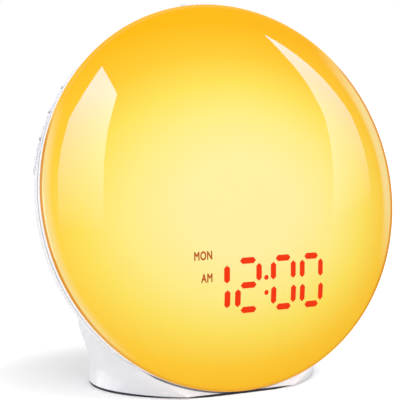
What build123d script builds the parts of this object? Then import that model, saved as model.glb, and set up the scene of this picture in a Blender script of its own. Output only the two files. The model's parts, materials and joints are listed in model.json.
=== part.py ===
from build123d import *
import os
from math import cos, pi, radians, sin, sqrt

# Bedside sunrise alarm clock. A glowing dome faces the user and leans back; a white bowl
# behind it flows down into an oval foot. Millimetres, +Z up, the dome faces -Y.
# The origin is on the surface the clock stands on, under the middle of the foot.
# The dial frame: x to the user's right, y up the dial, z out of the dial.

# ---- Driving sizes -------------------------------------------------------------------

TILT = 13.6  # how far the dial leans back, degrees
RIM_RADIUS = 90.0  # edge of the dome
RIM_HEIGHT = 89.4  # middle of the dial above the table
RIM_SETBACK = 22.5  # middle of the dial ahead of the foot's middle

# Dome
DOME_RISE = 26.5  # crown of the dome above its straight edge
SKIRT = 3.5  # straight edge of the dome
DOME_WALL = 2.0
DOME_EDGE = 1.2  # rounding between crown and straight edge
LIP_DEPTH = 1.8  # tongue of the dome that drops into the ring
LIP_WALL = 2.0
LIP_INSET = 3.6  # from the edge of the dome in to the tongue

# Front ring
RING_DEPTH = 3.0  # the part of the ring that shows
RING_WEB = 2.0
RING_WEB_REACH = 12.0  # the ring's web, from the rim inwards
RING_TONGUE = 2.5  # how far the ring reaches into the housing
RING_TONGUE_WALL = 2.0
RING_BOSS = 5.0

# Rear housing
BOWL_DEPTH = 64.0
WALL = 2.4
SHADOW_GAP = 0.35  # fine groove between ring and housing
SHADOW_GAP_DEPTH = 0.6
FOOT_HALF_WIDTH = 56.4
FOOT_HALF_DEPTH = 43.1
FOOT_STRAIGHT = 12.0  # height over which the foot's side is upright
FOOT_SHOULDER = 30.0  # height at which the foot's sides flare out most
FOOT_WAIST = 45.0  # height at which they close in again, inside the bowl
FOOT_CROWN_DROP = 14.4  # the foot's form ends inside the bowl, this far below the dial's middle
FOOT_FLARE = (0.0, 6.5, 4.0, -12.0)  # widening of each side at those four heights
FOOT_FRONT_LEAN = (0.0, 2.0, 6.0, 13.0)  # how far the front has drawn back at those heights
FOOT_REAR_LEAN = (1.0, 5.0, 8.0, 12.0)  # how far the back has drawn in
FOOT_ROOT = -20.0  # the foot's form runs on below the table, and is cut off there
FOOT_BLEND = 20.0  # hollow rounding between foot and bowl
FOOT_TOE = 7.0  # solid toe of the foot, in front of its hollow
PAD = 1.2
PAD_INSET = 0.5
BASE_PLATE = 2.4

# General clearances
FIT = 0.1  # a snug fit of two still pieces
CLEARANCE = 0.3  # an easy fit of two still pieces
SCREW_CLEARANCE = 0.05  # a screw's shank in its pilot hole

# Screws: (head radius, head height, shank radius, length under the head)
HOUSING_SCREW = (2.8, 2.2, 1.4, 8.0)
BASE_SCREW = (2.4, 1.5, 1.2, 8.0)
BOARD_SCREW = (2.2, 1.4, 1.1, 5.0)
SPEAKER_SCREW = (2.2, 1.4, 1.1, 5.5)
SCREW_HOLE_PLAY = 0.3  # a screw's shank in a through hole

# Long screws that draw the housing against the ring
POST_INSET = 9.5  # middle of the posts inside the rim
POST_ANGLES = (60, 120, 205, 335)
POST_SIZE = 4.2
POST_FLOOR = 4.0  # thickness under the screw's head
WELL_PLAY = 0.6  # screw head in its deep well

# Side keys: four caps on each flank, pressed together along one direction
KEY_GROUP_ANGLE = 28.9  # middle of a group above the dial's horizontal, degrees
KEY_COUNT = 4
KEY_PITCH = 13.1
KEY_LENGTH = 12.5
KEY_WIDTH = 15.0
KEY_SETBACK = 16.5  # middle of the keys behind the rim
KEY_PROUD = 1.0
KEY_CORNER = 1.2
KEY_EDGE = 0.5  # rounding of a key's touched edges
KEY_SHELL = 1.6
KEY_FLANGE = 1.2
KEY_CLEARANCE = 0.4  # around a key, and between its flange and the wall
KEY_TRAVEL = 0.6
KEY_SKIRT_DEPTH = 16.4  # lower edge of the caps inside the rim
KEY_STEM = 2.0
SWITCH_PLAY = 0.05  # left between stem and switch when a key is fully in

# Circuit boards
BOARD = 1.6
BOARD_CORNER = 1.0
KEY_BOARD_DEPTH = 24.0  # outer face of a key board inside the rim
KEY_BOARD_LENGTH = 67.0
KEY_BOARD_WIDTH = 14.0
KEY_BOARD_SCREWS = 60.0
BOARD_BOSS = 2.6
SWITCH_SIZE = 6.0
SWITCH_BODY = 3.5
SWITCH_PLUNGER = 1.75
SWITCH_PLUNGER_RISE = 1.5

# Snooze bar
SNOOZE_LENGTH = 18.0
SNOOZE_WIDTH = 6.4
SNOOZE_SETBACK = 6.6
SNOOZE_PROUD = 2.7  # top of the bar beyond the rim
SNOOZE_ROUNDING = 1.8
SNOOZE_RIBS = 22
SNOOZE_RIB_DEPTH = 0.45
SNOOZE_TRAVEL = 1.0
SNOOZE_NECK_DEPTH = 3.6  # deeper than this the bar steps back from the ring's web
SNOOZE_SKIRT_DEPTH = 6.4
SNOOZE_FLANGE = 1.4
SNOOZE_BOARD_SETBACK = 9.0  # middle of the snooze board behind the rim
SNOOZE_BOARD_DEPTH = 18.0
SNOOZE_BOARD_LENGTH = 34.0
SNOOZE_BOARD_WIDTH = 10.0
SNOOZE_BOARD_SCREWS = 27.0

# Reflector and lamp board
REFLECTOR = 1.5
REFLECTOR_WALL = 1.5
REFLECTOR_RISE = 3.0
LED_BOARD_MARGIN = 28.0  # edge of the lamp board inside the rim
LED_BOARD_CHORD = -22.0  # the lamp board is cut off below this line
LED_RINGS = ((0, 1), (19, 6), (37, 12), (54, 18))
LED_SIZE = 5.0
LED_HEIGHT = 1.5
LED_WINDOW = 1.9
LED_WINDOW_DEPTH = 0.3
LED_BOARD_SCREW_RADIUS = 46.0
LED_BOARD_SCREW_ANGLES = (90, 195, 345)
FRONT_BOARD_BOSS = 4.0  # depth of the bosses behind the reflector

# Display
DISPLAY_X = 4.8
DISPLAY_Y = -42.9
DISPLAY_BOARD_WIDTH = 32.0
DISPLAY_SCREW_LEAD = 3.0  # display screws beyond the shroud's ends
DISPLAY_BOARD_END = 2.0  # the board beyond its screws
SHROUD_LENGTH = 88.0
SHROUD_WIDTH = 29.0
SHROUD_WALL = 1.6
SHROUD_CORNER = 2.0
GUIDE_PLATE = 1.2
DIGIT_PITCH = 15.8
COLON_PITCH = 18.1  # between the two digits beside the colon
DIGIT_HALF_WIDTH = 5.4
DIGIT_HALF_HEIGHT = 10.8
SEGMENT_THICK = 2.4
SEGMENT_TALL = 8.4
SEGMENT_WIDE = 6.8
COLON_HALF_GAP = 3.3
COLON_DOT = 1.05

# Main board
MAIN_LENGTH = 96.0
MAIN_WIDTH = 68.0
MAIN_SETBACK = 12.0
MAIN_SCREW_INSET = 5.0  # from the board's edges
STANDOFF = 3.0
HEADER_LENGTH = 20.0
HEADER_WIDTH = 2.5
HEADER_Y = 12.0
# (x, y, length, width, height) on the back of the main board
CHIPS = ((-20, 14, 14, 14, 1.6), (8, 18, 10, 8, 1.6), (-22, -14, 9, 6, 1.8), (30, -20, 7, 7, 4.0))
CAPACITOR_INSET = 14.0  # from the main board's end
CAPACITOR_ROWS = (16, 3)
CAPACITOR_RADIUS = 4.0
CAPACITOR_HEIGHT = 9.0
CELL_X = 4.0
CELL_Y = -16.0
CELL_RADIUS = 10.0
CELL_HEIGHT = 3.2
HOLDER_SIZE = 24.0
HOLDER_HEIGHT = 4.4
HOLDER_CORNER = 3.0
CELL_EDGE = 0.4

# Loudspeaker, in the middle of the bowl's back
SPEAKER_SEAT = 56.0  # behind the rim
SPEAKER_RADIUS = 27.0
SPEAKER_OPENING = 20.8
SPEAKER_SHEET = 1.4
SPEAKER_BASKET = 11.0
SPEAKER_BASKET_BACK = 16.0
SPEAKER_SEAT_INNER = 19.5
SPEAKER_SEAT_OUTER = 28.5
SPEAKER_SCREW_RADIUS = 24.5
GASKET = 1.0
GASKET_INNER = 21.0
CONE_SHEET = 0.7
CONE_RADIUS = 6.0
CONE_DEPTH = 7.0
CONE_SURROUND = 2.0
CONE_CAP = 2.4  # depth of the dust cap
MAGNET_RADIUS = 14.0
MAGNET_HEIGHT = 8.0
MAGNET_EDGE = 1.0
GRILLE_PITCH = 4.8
GRILLE_RINGS = 3
GRILLE_HOLE = 1.3

# Power inlet, in the back of the foot
INLET_HEIGHT = 14.0
INLET_HOLE = 4.2
JACK_FACE = 37.6  # behind the foot's middle
JACK_LENGTH = 11.0
JACK_WIDTH = 9.0
JACK_HEIGHT = 10.8
JACK_EDGE = 1.2
JACK_BORE = 2.75
JACK_BORE_DEPTH = 9.0
JACK_PIN = 1.0
JACK_PIN_SINK = 1.0  # how far the pin's tip stays inside the jack's mouth
INLET_BOARD_LENGTH = 24.0
INLET_BOARD_WIDTH = 18.0
INLET_SCREWS = 18.0
INLET_SCREW_LEAD = 2.0  # screws ahead of the jack's back

# Base plate screws: (x, y) of the four bosses in the foot
BASE_BOSSES = ((38, 25), (-38, 25), (38, -20), (-38, -20))
BASE_BOSS_SIZE = 4.2
BASE_BOSS_HEIGHT = 13.0

# ---- Frames and shared forms ---------------------------------------------------------

lean_sin = sin(radians(TILT))
lean_cos = cos(radians(TILT))
DIAL = Plane(
    origin=(0, -RIM_SETBACK, RIM_HEIGHT), x_dir=(1, 0, 0), z_dir=(0, -lean_cos, lean_sin)
)
DIAL_AXIS = Axis(DIAL.origin, DIAL.z_dir)
# Half sections are drawn here: x is the radius, y runs forward along the dial axis.
SECTION = Plane(origin=DIAL.origin, x_dir=(1, 0, 0), z_dir=(0, -lean_sin, -lean_cos))

dome_radius = (RIM_RADIUS**2 + DOME_RISE**2) / (2 * DOME_RISE)
dome_middle = SKIRT + DOME_RISE - dome_radius
tongue_end = RING_DEPTH + RING_TONGUE
web_back = LIP_DEPTH + RING_WEB
board_front = REFLECTOR + BOARD - LIP_DEPTH  # front face of the lamp and display boards
# Distances from the dial axis
web_inner = RIM_RADIUS - RING_WEB_REACH
post_radius = RIM_RADIUS - POST_INSET
key_skirt_level = RIM_RADIUS - KEY_SKIRT_DEPTH
key_board_level = RIM_RADIUS - KEY_BOARD_DEPTH
snooze_top = RIM_RADIUS + SNOOZE_PROUD
snooze_neck_level = RIM_RADIUS - SNOOZE_NECK_DEPTH
snooze_skirt_level = RIM_RADIUS - SNOOZE_SKIRT_DEPTH
snooze_board_level = RIM_RADIUS - SNOOZE_BOARD_DEPTH
led_board_radius = RIM_RADIUS - LED_BOARD_MARGIN
base_top = PAD + BASE_PLATE


def bowl_radius(setback, inset=0.0):
    """Radius of the bowl, or of its wall's inside, at a distance behind the rim."""
    return (RIM_RADIUS - inset) * sqrt(1 - (setback / (BOWL_DEPTH - inset)) ** 2)


def bowl_form(grow):
    """The bowl as a whole solid of revolution, with its surface moved out by grow."""
    with BuildPart() as form:
        with BuildSketch(SECTION):
            Ellipse(RIM_RADIUS + grow, BOWL_DEPTH + grow)
            Rectangle(
                2 * RIM_RADIUS,
                4 * BOWL_DEPTH,
                align=(Align.MAX, Align.CENTER),
                mode=Mode.SUBTRACT,
            )
        revolve(axis=DIAL_AXIS)
    return form.part


def foot_form(inset, toe):
    """The foot as a loft of ovals: upright below, and flaring into the bowl above."""
    crown = RIM_HEIGHT - FOOT_CROWN_DROP
    heights = (FOOT_ROOT, 0, FOOT_STRAIGHT, FOOT_SHOULDER, FOOT_WAIST, crown)
    flares = (0, 0, *FOOT_FLARE)
    front_leans = (0, 0, *FOOT_FRONT_LEAN)
    rear_leans = (0, 0, *FOOT_REAR_LEAN)
    with BuildPart() as form:
        for height, flare, front_lean, rear_lean in zip(heights, flares, front_leans, rear_leans):
            near = front_lean + toe - FOOT_HALF_DEPTH
            far = FOOT_HALF_DEPTH - rear_lean - inset
            with BuildSketch(Plane.XY.offset(height)):
                with Locations((0, (near + far) / 2)):
                    Ellipse(FOOT_HALF_WIDTH + flare - inset, (far - near) / 2)
        loft()
    return form.part


def dome_form(grow):
    """The ball that the dome is cut from, with its surface moved out by grow."""
    with BuildPart() as form:
        with Locations(DIAL.offset(dome_middle)):
            Sphere(dome_radius + grow)
    return form.part


def screw_form(sizes):
    """A pan-head screw that points down, with the underside of its head at the origin."""
    head_radius, head_height, shank_radius, length = sizes
    with BuildPart() as form:
        Cylinder(head_radius, head_height, align=(Align.CENTER, Align.CENTER, Align.MIN))
        chamfer(form.faces().sort_by(Axis.Z)[-1].edges(), head_height / 3)
        Cylinder(shank_radius, length, align=(Align.CENTER, Align.CENTER, Align.MAX))
    return form.part


def around(radius, angle):
    """A point on the dial, by its distance from the middle and its angle."""
    return (radius * cos(radians(angle)), radius * sin(radians(angle)))


def key_frame(angle, setback):
    """A frame that looks out along the dial at an angle, its y pointing forward."""
    out_x, out_y = around(1, angle)
    across_x, across_y = around(1, angle + 90)
    outward = DIAL.x_dir * out_x + DIAL.y_dir * out_y
    across = DIAL.x_dir * across_x + DIAL.y_dir * across_y
    middle = DIAL.origin - DIAL.z_dir * setback
    return Plane(origin=middle, x_dir=across, z_dir=outward)


def pilot(sizes):
    """Radius of the hole that a screw bites into."""
    return sizes[2] + SCREW_CLEARANCE


def through(sizes):
    """Radius of the hole that a screw passes through."""
    return sizes[2] + SCREW_HOLE_PLAY


LEFT = key_frame(180 - KEY_GROUP_ANGLE, KEY_SETBACK)
RIGHT = key_frame(KEY_GROUP_ANGLE, KEY_SETBACK)
SNOOZE = key_frame(90, SNOOZE_SETBACK)
SNOOZE_BOARD = key_frame(90, SNOOZE_BOARD_SETBACK)

posts = [around(post_radius, angle) for angle in POST_ANGLES]
key_places = [(i - (KEY_COUNT - 1) / 2) * KEY_PITCH for i in range(KEY_COUNT)]
window_length = (KEY_COUNT - 1) * KEY_PITCH + KEY_LENGTH + 2 * KEY_CLEARANCE
window_width = KEY_WIDTH + 2 * KEY_CLEARANCE
switch_rise = SWITCH_BODY + SWITCH_PLUNGER_RISE
post_seat = web_back + RING_BOSS  # where a housing post meets a ring boss
main_holes = [
    (x * (MAIN_LENGTH / 2 - MAIN_SCREW_INSET), y * (MAIN_WIDTH / 2 - MAIN_SCREW_INSET))
    for x in (-1, 1)
    for y in (-1, 1)
]
capacitor_places = [(MAIN_LENGTH / 2 - CAPACITOR_INSET, y) for y in CAPACITOR_ROWS]
led_holes = [around(LED_BOARD_SCREW_RADIUS, angle) for angle in LED_BOARD_SCREW_ANGLES]
display_reach = SHROUD_LENGTH / 2 + DISPLAY_SCREW_LEAD  # from the display's middle to a screw
display_board_length = 2 * (display_reach + DISPLAY_BOARD_END)
display_holes = [(DISPLAY_X + side * display_reach, DISPLAY_Y) for side in (-1, 1)]
speaker_holes = [around(SPEAKER_SCREW_RADIUS, 45 + 90 * i) for i in range(4)]
inlet_holes = [(side * INLET_SCREWS / 2, 0) for side in (-1, 1)]
inlet_bottom = INLET_HEIGHT - JACK_HEIGHT / 2  # top face of the inlet board
inlet_middle = JACK_FACE - JACK_LENGTH + INLET_SCREW_LEAD

housing_form = bowl_form(0)
hollow_bowl = bowl_form(-WALL)
hollow_foot = foot_form(WALL, FOOT_TOE)
key_skin = bowl_form(KEY_PROUD)
key_roof = bowl_form(KEY_PROUD - KEY_SHELL)
flange_skin = bowl_form(-WALL - KEY_CLEARANCE)
lens_inside = dome_form(-DOME_WALL - CLEARANCE)

# ---- Dome and front ring -------------------------------------------------------------

lip_outer = RIM_RADIUS - LIP_INSET
lip_inner = lip_outer - LIP_WALL
inner_ball = dome_radius - DOME_WALL
inner_edge = dome_middle + sqrt(inner_ball**2 - lip_inner**2)

with BuildPart() as diffuser_dome:
    with BuildSketch(SECTION):
        with BuildLine():
            crown = (0, SKIRT + DOME_RISE)
            arch = RadiusArc(crown, (RIM_RADIUS, SKIRT), dome_radius)
            Polyline(
                arch @ 1,
                (RIM_RADIUS, 0),
                (lip_outer, 0),
                (lip_outer, -LIP_DEPTH),
                (lip_inner, -LIP_DEPTH),
                (lip_inner, inner_edge),
            )
            vault = RadiusArc((lip_inner, inner_edge), (0, dome_middle + inner_ball), -inner_ball)
            Line(vault @ 1, crown)
        make_face()
    revolve(axis=DIAL_AXIS)
    rings = diffuser_dome.edges().filter_by(lambda edge: edge.is_closed)
    fillet(rings.group_by(SortBy.RADIUS)[-1].sort_by(DIAL_AXIS)[-1], DOME_EDGE)
diffuser_dome.part.label = "diffuser_dome"
os.makedirs("parts", exist_ok=True)
export_step(diffuser_dome.part, "parts/diffuser_dome.step")

tongue_radius = bowl_radius(tongue_end, WALL) - CLEARANCE
tongue_inner = tongue_radius - RING_TONGUE_WALL
notch_length = SNOOZE_LENGTH + 2 * SNOOZE_FLANGE + 4 * KEY_CLEARANCE
notch_floor = sqrt(tongue_inner**2 - (notch_length / 2) ** 2) - FIT

with BuildPart() as front_ring:
    with BuildSketch(SECTION):
        with BuildLine():
            Polyline(
                (RIM_RADIUS, 0),
                (RIM_RADIUS, -RING_DEPTH),
                (tongue_radius, -RING_DEPTH),
                (tongue_radius, -tongue_end),
                (tongue_inner, -tongue_end),
                (tongue_inner, -web_back),
                (web_inner, -web_back),
                (web_inner, -LIP_DEPTH),
                (lip_outer + FIT, -LIP_DEPTH),
                (lip_outer + FIT, 0),
                close=True,
            )
        make_face()
    revolve(axis=DIAL_AXIS)
    # The snooze bar passes behind the ring, so the tongue is cut away there.
    with BuildSketch(DIAL.offset(-RING_DEPTH)):
        with Locations((0, notch_floor)):
            Rectangle(notch_length, RIM_RADIUS - notch_floor, align=(Align.CENTER, Align.MIN))
    extrude(amount=-RING_TONGUE, mode=Mode.SUBTRACT)
    with BuildSketch(DIAL.offset(-web_back)):
        with Locations(*posts):
            Circle(POST_SIZE)
    extrude(amount=-RING_BOSS)
    with BuildSketch(DIAL.offset(-post_seat)):
        with Locations(*posts):
            Circle(pilot(HOUSING_SCREW))
    extrude(amount=RING_BOSS, mode=Mode.SUBTRACT)
front_ring.part.label = "front_ring"
export_step(front_ring.part, "parts/front_ring.step")

# ---- Rear housing --------------------------------------------------------------------

with BuildPart() as outer_form:
    add(housing_form)
    add(foot_form(0, 0))
    neck = outer_form.edges().filter_by(GeomType.BSPLINE).sort_by(Axis.Z)[-1]
    fillet(neck, FOOT_BLEND)
    split(bisect_by=DIAL.offset(-RING_DEPTH), keep=Keep.BOTTOM)
    split(bisect_by=Plane.XY.offset(PAD), keep=Keep.TOP)

with BuildPart() as inner_bosses:
    # Posts for the long housing screws
    with BuildSketch(DIAL.offset(-post_seat)):
        with Locations(*posts):
            Circle(POST_SIZE)
    extrude(amount=-BOWL_DEPTH)
    # Raised ring that the loudspeaker is screwed to
    with BuildSketch(DIAL.offset(-SPEAKER_SEAT)):
        Circle(SPEAKER_SEAT_OUTER)
        Circle(SPEAKER_SEAT_INNER, mode=Mode.SUBTRACT)
    extrude(amount=SPEAKER_SEAT - BOWL_DEPTH)
    # Bosses for the key boards and the snooze board
    for frame, level, screws in (
        (LEFT, key_board_level, KEY_BOARD_SCREWS),
        (RIGHT, key_board_level, KEY_BOARD_SCREWS),
        (SNOOZE_BOARD, snooze_board_level, SNOOZE_BOARD_SCREWS),
    ):
        with BuildSketch(frame.offset(level)):
            with Locations((-screws / 2, 0), (screws / 2, 0)):
                Circle(BOARD_BOSS)
        extrude(amount=RIM_RADIUS - level)
    # Bosses for the base plate
    with BuildSketch(Plane.XY.offset(base_top)):
        with Locations(*BASE_BOSSES):
            Circle(BASE_BOSS_SIZE)
    extrude(amount=BASE_BOSS_HEIGHT)
    add(outer_form.part, mode=Mode.INTERSECT)

with BuildPart() as rear_housing:
    add(outer_form.part)
    add(hollow_bowl, mode=Mode.SUBTRACT)
    add(hollow_foot, mode=Mode.SUBTRACT)
    add(inner_bosses.part)
    # Fine groove behind the front ring
    with BuildSketch(DIAL.offset(-RING_DEPTH)):
        Circle(RIM_RADIUS + SHADOW_GAP_DEPTH)
        Circle(RIM_RADIUS - SHADOW_GAP_DEPTH, mode=Mode.SUBTRACT)
    extrude(amount=-SHADOW_GAP, mode=Mode.SUBTRACT)
    # One window for each group of side keys
    for frame in (LEFT, RIGHT):
        with BuildSketch(frame.offset(key_skirt_level)):
            RectangleRounded(window_length, window_width, KEY_CORNER + KEY_CLEARANCE)
        extrude(amount=RIM_RADIUS, mode=Mode.SUBTRACT)
    # Notch for the snooze bar, open to the front and closed by the ring
    with BuildSketch(SNOOZE.offset(snooze_skirt_level)):
        SlotOverall(SNOOZE_LENGTH + 2 * KEY_CLEARANCE, SNOOZE_WIDTH + 2 * KEY_CLEARANCE)
        Rectangle(
            SNOOZE_LENGTH + 2 * KEY_CLEARANCE,
            SNOOZE_WIDTH,
            align=(Align.CENTER, Align.MIN),
        )
    extrude(amount=RIM_RADIUS, mode=Mode.SUBTRACT)
    # Loudspeaker grille: rings of round holes
    with BuildSketch(DIAL.offset(-SPEAKER_SEAT)):
        Circle(GRILLE_HOLE)
        for ring in range(1, GRILLE_RINGS + 1):
            with PolarLocations(ring * GRILLE_PITCH, 6 * ring):
                Circle(GRILLE_HOLE)
    extrude(amount=-BOWL_DEPTH, mode=Mode.SUBTRACT)
    # Screw holes: long wells from behind, then the pilots of the inner bosses
    with BuildSketch(DIAL.offset(-post_seat - POST_FLOOR)):
        with Locations(*posts):
            Circle(HOUSING_SCREW[0] + WELL_PLAY)
    extrude(amount=-BOWL_DEPTH, mode=Mode.SUBTRACT)
    with BuildSketch(DIAL.offset(-post_seat)):
        with Locations(*posts):
            Circle(through(HOUSING_SCREW))
    extrude(amount=-POST_FLOOR, mode=Mode.SUBTRACT)
    with BuildSketch(DIAL.offset(-SPEAKER_SEAT)):
        with Locations(*speaker_holes):
            Circle(pilot(SPEAKER_SCREW))
    extrude(amount=GASKET + SPEAKER_SHEET - SPEAKER_SCREW[3], mode=Mode.SUBTRACT)
    for frame, level, screws in (
        (LEFT, key_board_level, KEY_BOARD_SCREWS),
        (RIGHT, key_board_level, KEY_BOARD_SCREWS),
        (SNOOZE_BOARD, snooze_board_level, SNOOZE_BOARD_SCREWS),
    ):
        with BuildSketch(frame.offset(level)):
            with Locations((-screws / 2, 0), (screws / 2, 0)):
                Circle(pilot(BOARD_SCREW))
        extrude(amount=BOARD_SCREW[3], mode=Mode.SUBTRACT)
    with BuildSketch(Plane.XY.offset(base_top)):
        with Locations(*BASE_BOSSES):
            Circle(pilot(BASE_SCREW))
    extrude(amount=BASE_SCREW[3], mode=Mode.SUBTRACT)
    # Round hole for the power plug
    with BuildSketch(Plane.XZ.offset(-FOOT_HALF_DEPTH - WALL)):
        with Locations((0, INLET_HEIGHT)):
            Circle(INLET_HOLE)
    extrude(amount=FOOT_HALF_DEPTH + 2 * WALL - JACK_FACE, mode=Mode.SUBTRACT)
rear_housing.part.label = "rear_housing"
export_step(rear_housing.part, "parts/rear_housing.step")

# ---- Foot ----------------------------------------------------------------------------

with BuildPart() as base_pad:
    with BuildSketch():
        Ellipse(FOOT_HALF_WIDTH - PAD_INSET, FOOT_HALF_DEPTH - PAD_INSET)
    extrude(amount=PAD)
    split(bisect_by=DIAL.offset(-RING_DEPTH - PAD_INSET), keep=Keep.BOTTOM)
base_pad.part.label = "base_pad"
export_step(base_pad.part, "parts/base_pad.step")

with BuildPart() as base_plate:
    # The edge of the plate follows the foot's hollow.
    with BuildSketch(Plane.XY.offset(PAD)):
        Rectangle(2 * FOOT_HALF_WIDTH, 2 * FOOT_HALF_DEPTH)
    extrude(amount=BASE_PLATE)
    add(foot_form(WALL + CLEARANCE, FOOT_TOE + CLEARANCE), mode=Mode.INTERSECT)
    # Two posts carry the inlet board.
    with BuildSketch(Plane.XY.offset(base_top)):
        with Locations(*[(x, inlet_middle + y) for x, y in inlet_holes]):
            Circle(STANDOFF)
    extrude(amount=inlet_bottom - BOARD - base_top)
    with BuildSketch(Plane.XY.offset(inlet_bottom - BOARD)):
        with Locations(*[(x, inlet_middle + y) for x, y in inlet_holes]):
            Circle(pilot(BOARD_SCREW))
    extrude(amount=-BOARD_SCREW[3] + BOARD, mode=Mode.SUBTRACT)
    with BuildSketch(Plane.XY.offset(PAD)):
        with Locations(*BASE_BOSSES):
            Circle(through(BASE_SCREW))
    extrude(amount=BASE_PLATE, mode=Mode.SUBTRACT)
    with BuildSketch(Plane.XY.offset(PAD)):
        with Locations(*BASE_BOSSES):
            Circle(BASE_SCREW[0] + CLEARANCE)
    extrude(amount=BASE_SCREW[1], mode=Mode.SUBTRACT)
base_plate.part.label = "base_plate"
export_step(base_plate.part, "parts/base_plate.step")

# ---- Power inlet ---------------------------------------------------------------------

with BuildPart() as inlet_board:
    with BuildSketch(Plane.XY.offset(inlet_bottom - BOARD)):
        with Locations((0, inlet_middle)):
            RectangleRounded(INLET_BOARD_LENGTH, INLET_BOARD_WIDTH, BOARD_CORNER)
        with Locations(*[(x, inlet_middle + y) for x, y in inlet_holes]):
            Circle(through(BOARD_SCREW), mode=Mode.SUBTRACT)
    extrude(amount=BOARD)
inlet_board.part.label = "inlet_board"
export_step(inlet_board.part, "parts/inlet_board.step")

with BuildPart() as dc_jack:
    with BuildSketch(Plane.XZ.offset(-JACK_FACE)):
        with Locations((0, INLET_HEIGHT)):
            Rectangle(JACK_WIDTH, JACK_HEIGHT)
    extrude(amount=JACK_LENGTH)
    chamfer(dc_jack.faces().sort_by(Axis.Z)[-1].edges().filter_by(Axis.Y), JACK_EDGE)
    with BuildSketch(Plane.XZ.offset(-JACK_FACE)):
        with Locations((0, INLET_HEIGHT)):
            Circle(JACK_BORE)
    extrude(amount=JACK_BORE_DEPTH, mode=Mode.SUBTRACT)
dc_jack.part.label = "dc_jack"
export_step(dc_jack.part, "parts/dc_jack.step")

with BuildPart() as dc_jack_pin:
    with BuildSketch(Plane.XZ.offset(JACK_BORE_DEPTH - JACK_FACE)):
        with Locations((0, INLET_HEIGHT)):
            Circle(JACK_PIN)
    extrude(amount=JACK_PIN_SINK - JACK_BORE_DEPTH)
    fillet(dc_jack_pin.faces().sort_by(Axis.Y)[-1].edges(), JACK_PIN / 2)
dc_jack_pin.part.label = "dc_jack_pin"
export_step(dc_jack_pin.part, "parts/dc_jack_pin.step")

# ---- Reflector and lamp board --------------------------------------------------------

reflector_front = REFLECTOR - LIP_DEPTH
reflector_radius = lip_inner - CLEARANCE
front_holes = led_holes + display_holes

with BuildPart() as reflector_plate:
    with BuildSketch(DIAL.offset(-LIP_DEPTH)):
        Circle(reflector_radius)
    extrude(amount=REFLECTOR)
    with BuildSketch(DIAL.offset(reflector_front)):
        Circle(reflector_radius)
        Circle(reflector_radius - REFLECTOR_WALL, mode=Mode.SUBTRACT)
    extrude(amount=REFLECTOR_RISE)
    # Bosses behind for the front boards, long stand-offs for the main board
    with BuildSketch(DIAL.offset(-LIP_DEPTH)):
        with Locations(*front_holes):
            Circle(STANDOFF)
    extrude(amount=-FRONT_BOARD_BOSS)
    with BuildSketch(DIAL.offset(-LIP_DEPTH)):
        with Locations(*main_holes):
            Circle(STANDOFF)
    extrude(amount=LIP_DEPTH - MAIN_SETBACK)
    with BuildSketch(DIAL.offset(reflector_front)):
        with Locations(*front_holes):
            Circle(pilot(BOARD_SCREW))
    extrude(amount=BOARD - BOARD_SCREW[3], mode=Mode.SUBTRACT)
    with BuildSketch(DIAL.offset(-MAIN_SETBACK)):
        with Locations(*main_holes):
            Circle(pilot(BOARD_SCREW))
    extrude(amount=BOARD_SCREW[3] - BOARD, mode=Mode.SUBTRACT)
    # Slot for the header between the boards
    with BuildSketch(DIAL.offset(-LIP_DEPTH)):
        with Locations((0, HEADER_Y)):
            Rectangle(HEADER_LENGTH + 2 * CLEARANCE, HEADER_WIDTH + 2 * CLEARANCE)
    extrude(amount=REFLECTOR, mode=Mode.SUBTRACT)
reflector_plate.part.label = "reflector_plate"
export_step(reflector_plate.part, "parts/reflector_plate.step")

with BuildPart() as led_board:
    with BuildSketch(DIAL.offset(reflector_front)):
        Circle(led_board_radius)
        with Locations((0, LED_BOARD_CHORD)):
            Rectangle(
                2 * led_board_radius,
                2 * led_board_radius,
                align=(Align.CENTER, Align.MAX),
                mode=Mode.SUBTRACT,
            )
        with Locations(*led_holes):
            Circle(through(BOARD_SCREW), mode=Mode.SUBTRACT)
    extrude(amount=BOARD)
led_board.part.label = "led_board"
export_step(led_board.part, "parts/led_board.step")

led_places = [
    around(radius, 90 + 360 * i / count) for radius, count in LED_RINGS for i in range(count)
]
led_limit = LED_BOARD_CHORD + LED_SIZE

with BuildPart(DIAL.offset(board_front)) as leds:
    with Locations(*[place for place in led_places if place[1] > led_limit]):
        Box(LED_SIZE, LED_SIZE, LED_HEIGHT, align=(Align.CENTER, Align.CENTER, Align.MIN))
    with Locations(*[(x, y, LED_HEIGHT) for x, y in led_places if y > led_limit]):
        Cylinder(
            LED_WINDOW,
            LED_WINDOW_DEPTH,
            align=(Align.CENTER, Align.CENTER, Align.MAX),
            mode=Mode.SUBTRACT,
        )
leds.part.label = "leds"
export_step(leds.part, "parts/leds.step")

# ---- Display -------------------------------------------------------------------------

DISPLAY = Plane(DIAL * Pos(DISPLAY_X, DISPLAY_Y, board_front))
digit_middles = [
    -COLON_PITCH / 2 - DIGIT_PITCH,
    -COLON_PITCH / 2,
    COLON_PITCH / 2,
    COLON_PITCH / 2 + DIGIT_PITCH,
]
# Seven bars of a digit: (x, y, length, turn)
bars = [(0, y, SEGMENT_WIDE, 0) for y in (-DIGIT_HALF_HEIGHT, 0, DIGIT_HALF_HEIGHT)] + [
    (x, y, SEGMENT_TALL, 90)
    for x in (-DIGIT_HALF_WIDTH, DIGIT_HALF_WIDTH)
    for y in (-DIGIT_HALF_HEIGHT / 2, DIGIT_HALF_HEIGHT / 2)
]

with BuildPart() as display_board:
    with BuildSketch(DISPLAY.offset(-BOARD)):
        RectangleRounded(display_board_length, DISPLAY_BOARD_WIDTH, BOARD_CORNER)
        with Locations((-display_reach, 0), (display_reach, 0)):
            Circle(through(BOARD_SCREW), mode=Mode.SUBTRACT)
    extrude(amount=BOARD)
display_board.part.label = "display_board"
export_step(display_board.part, "parts/display_board.step")

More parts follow.
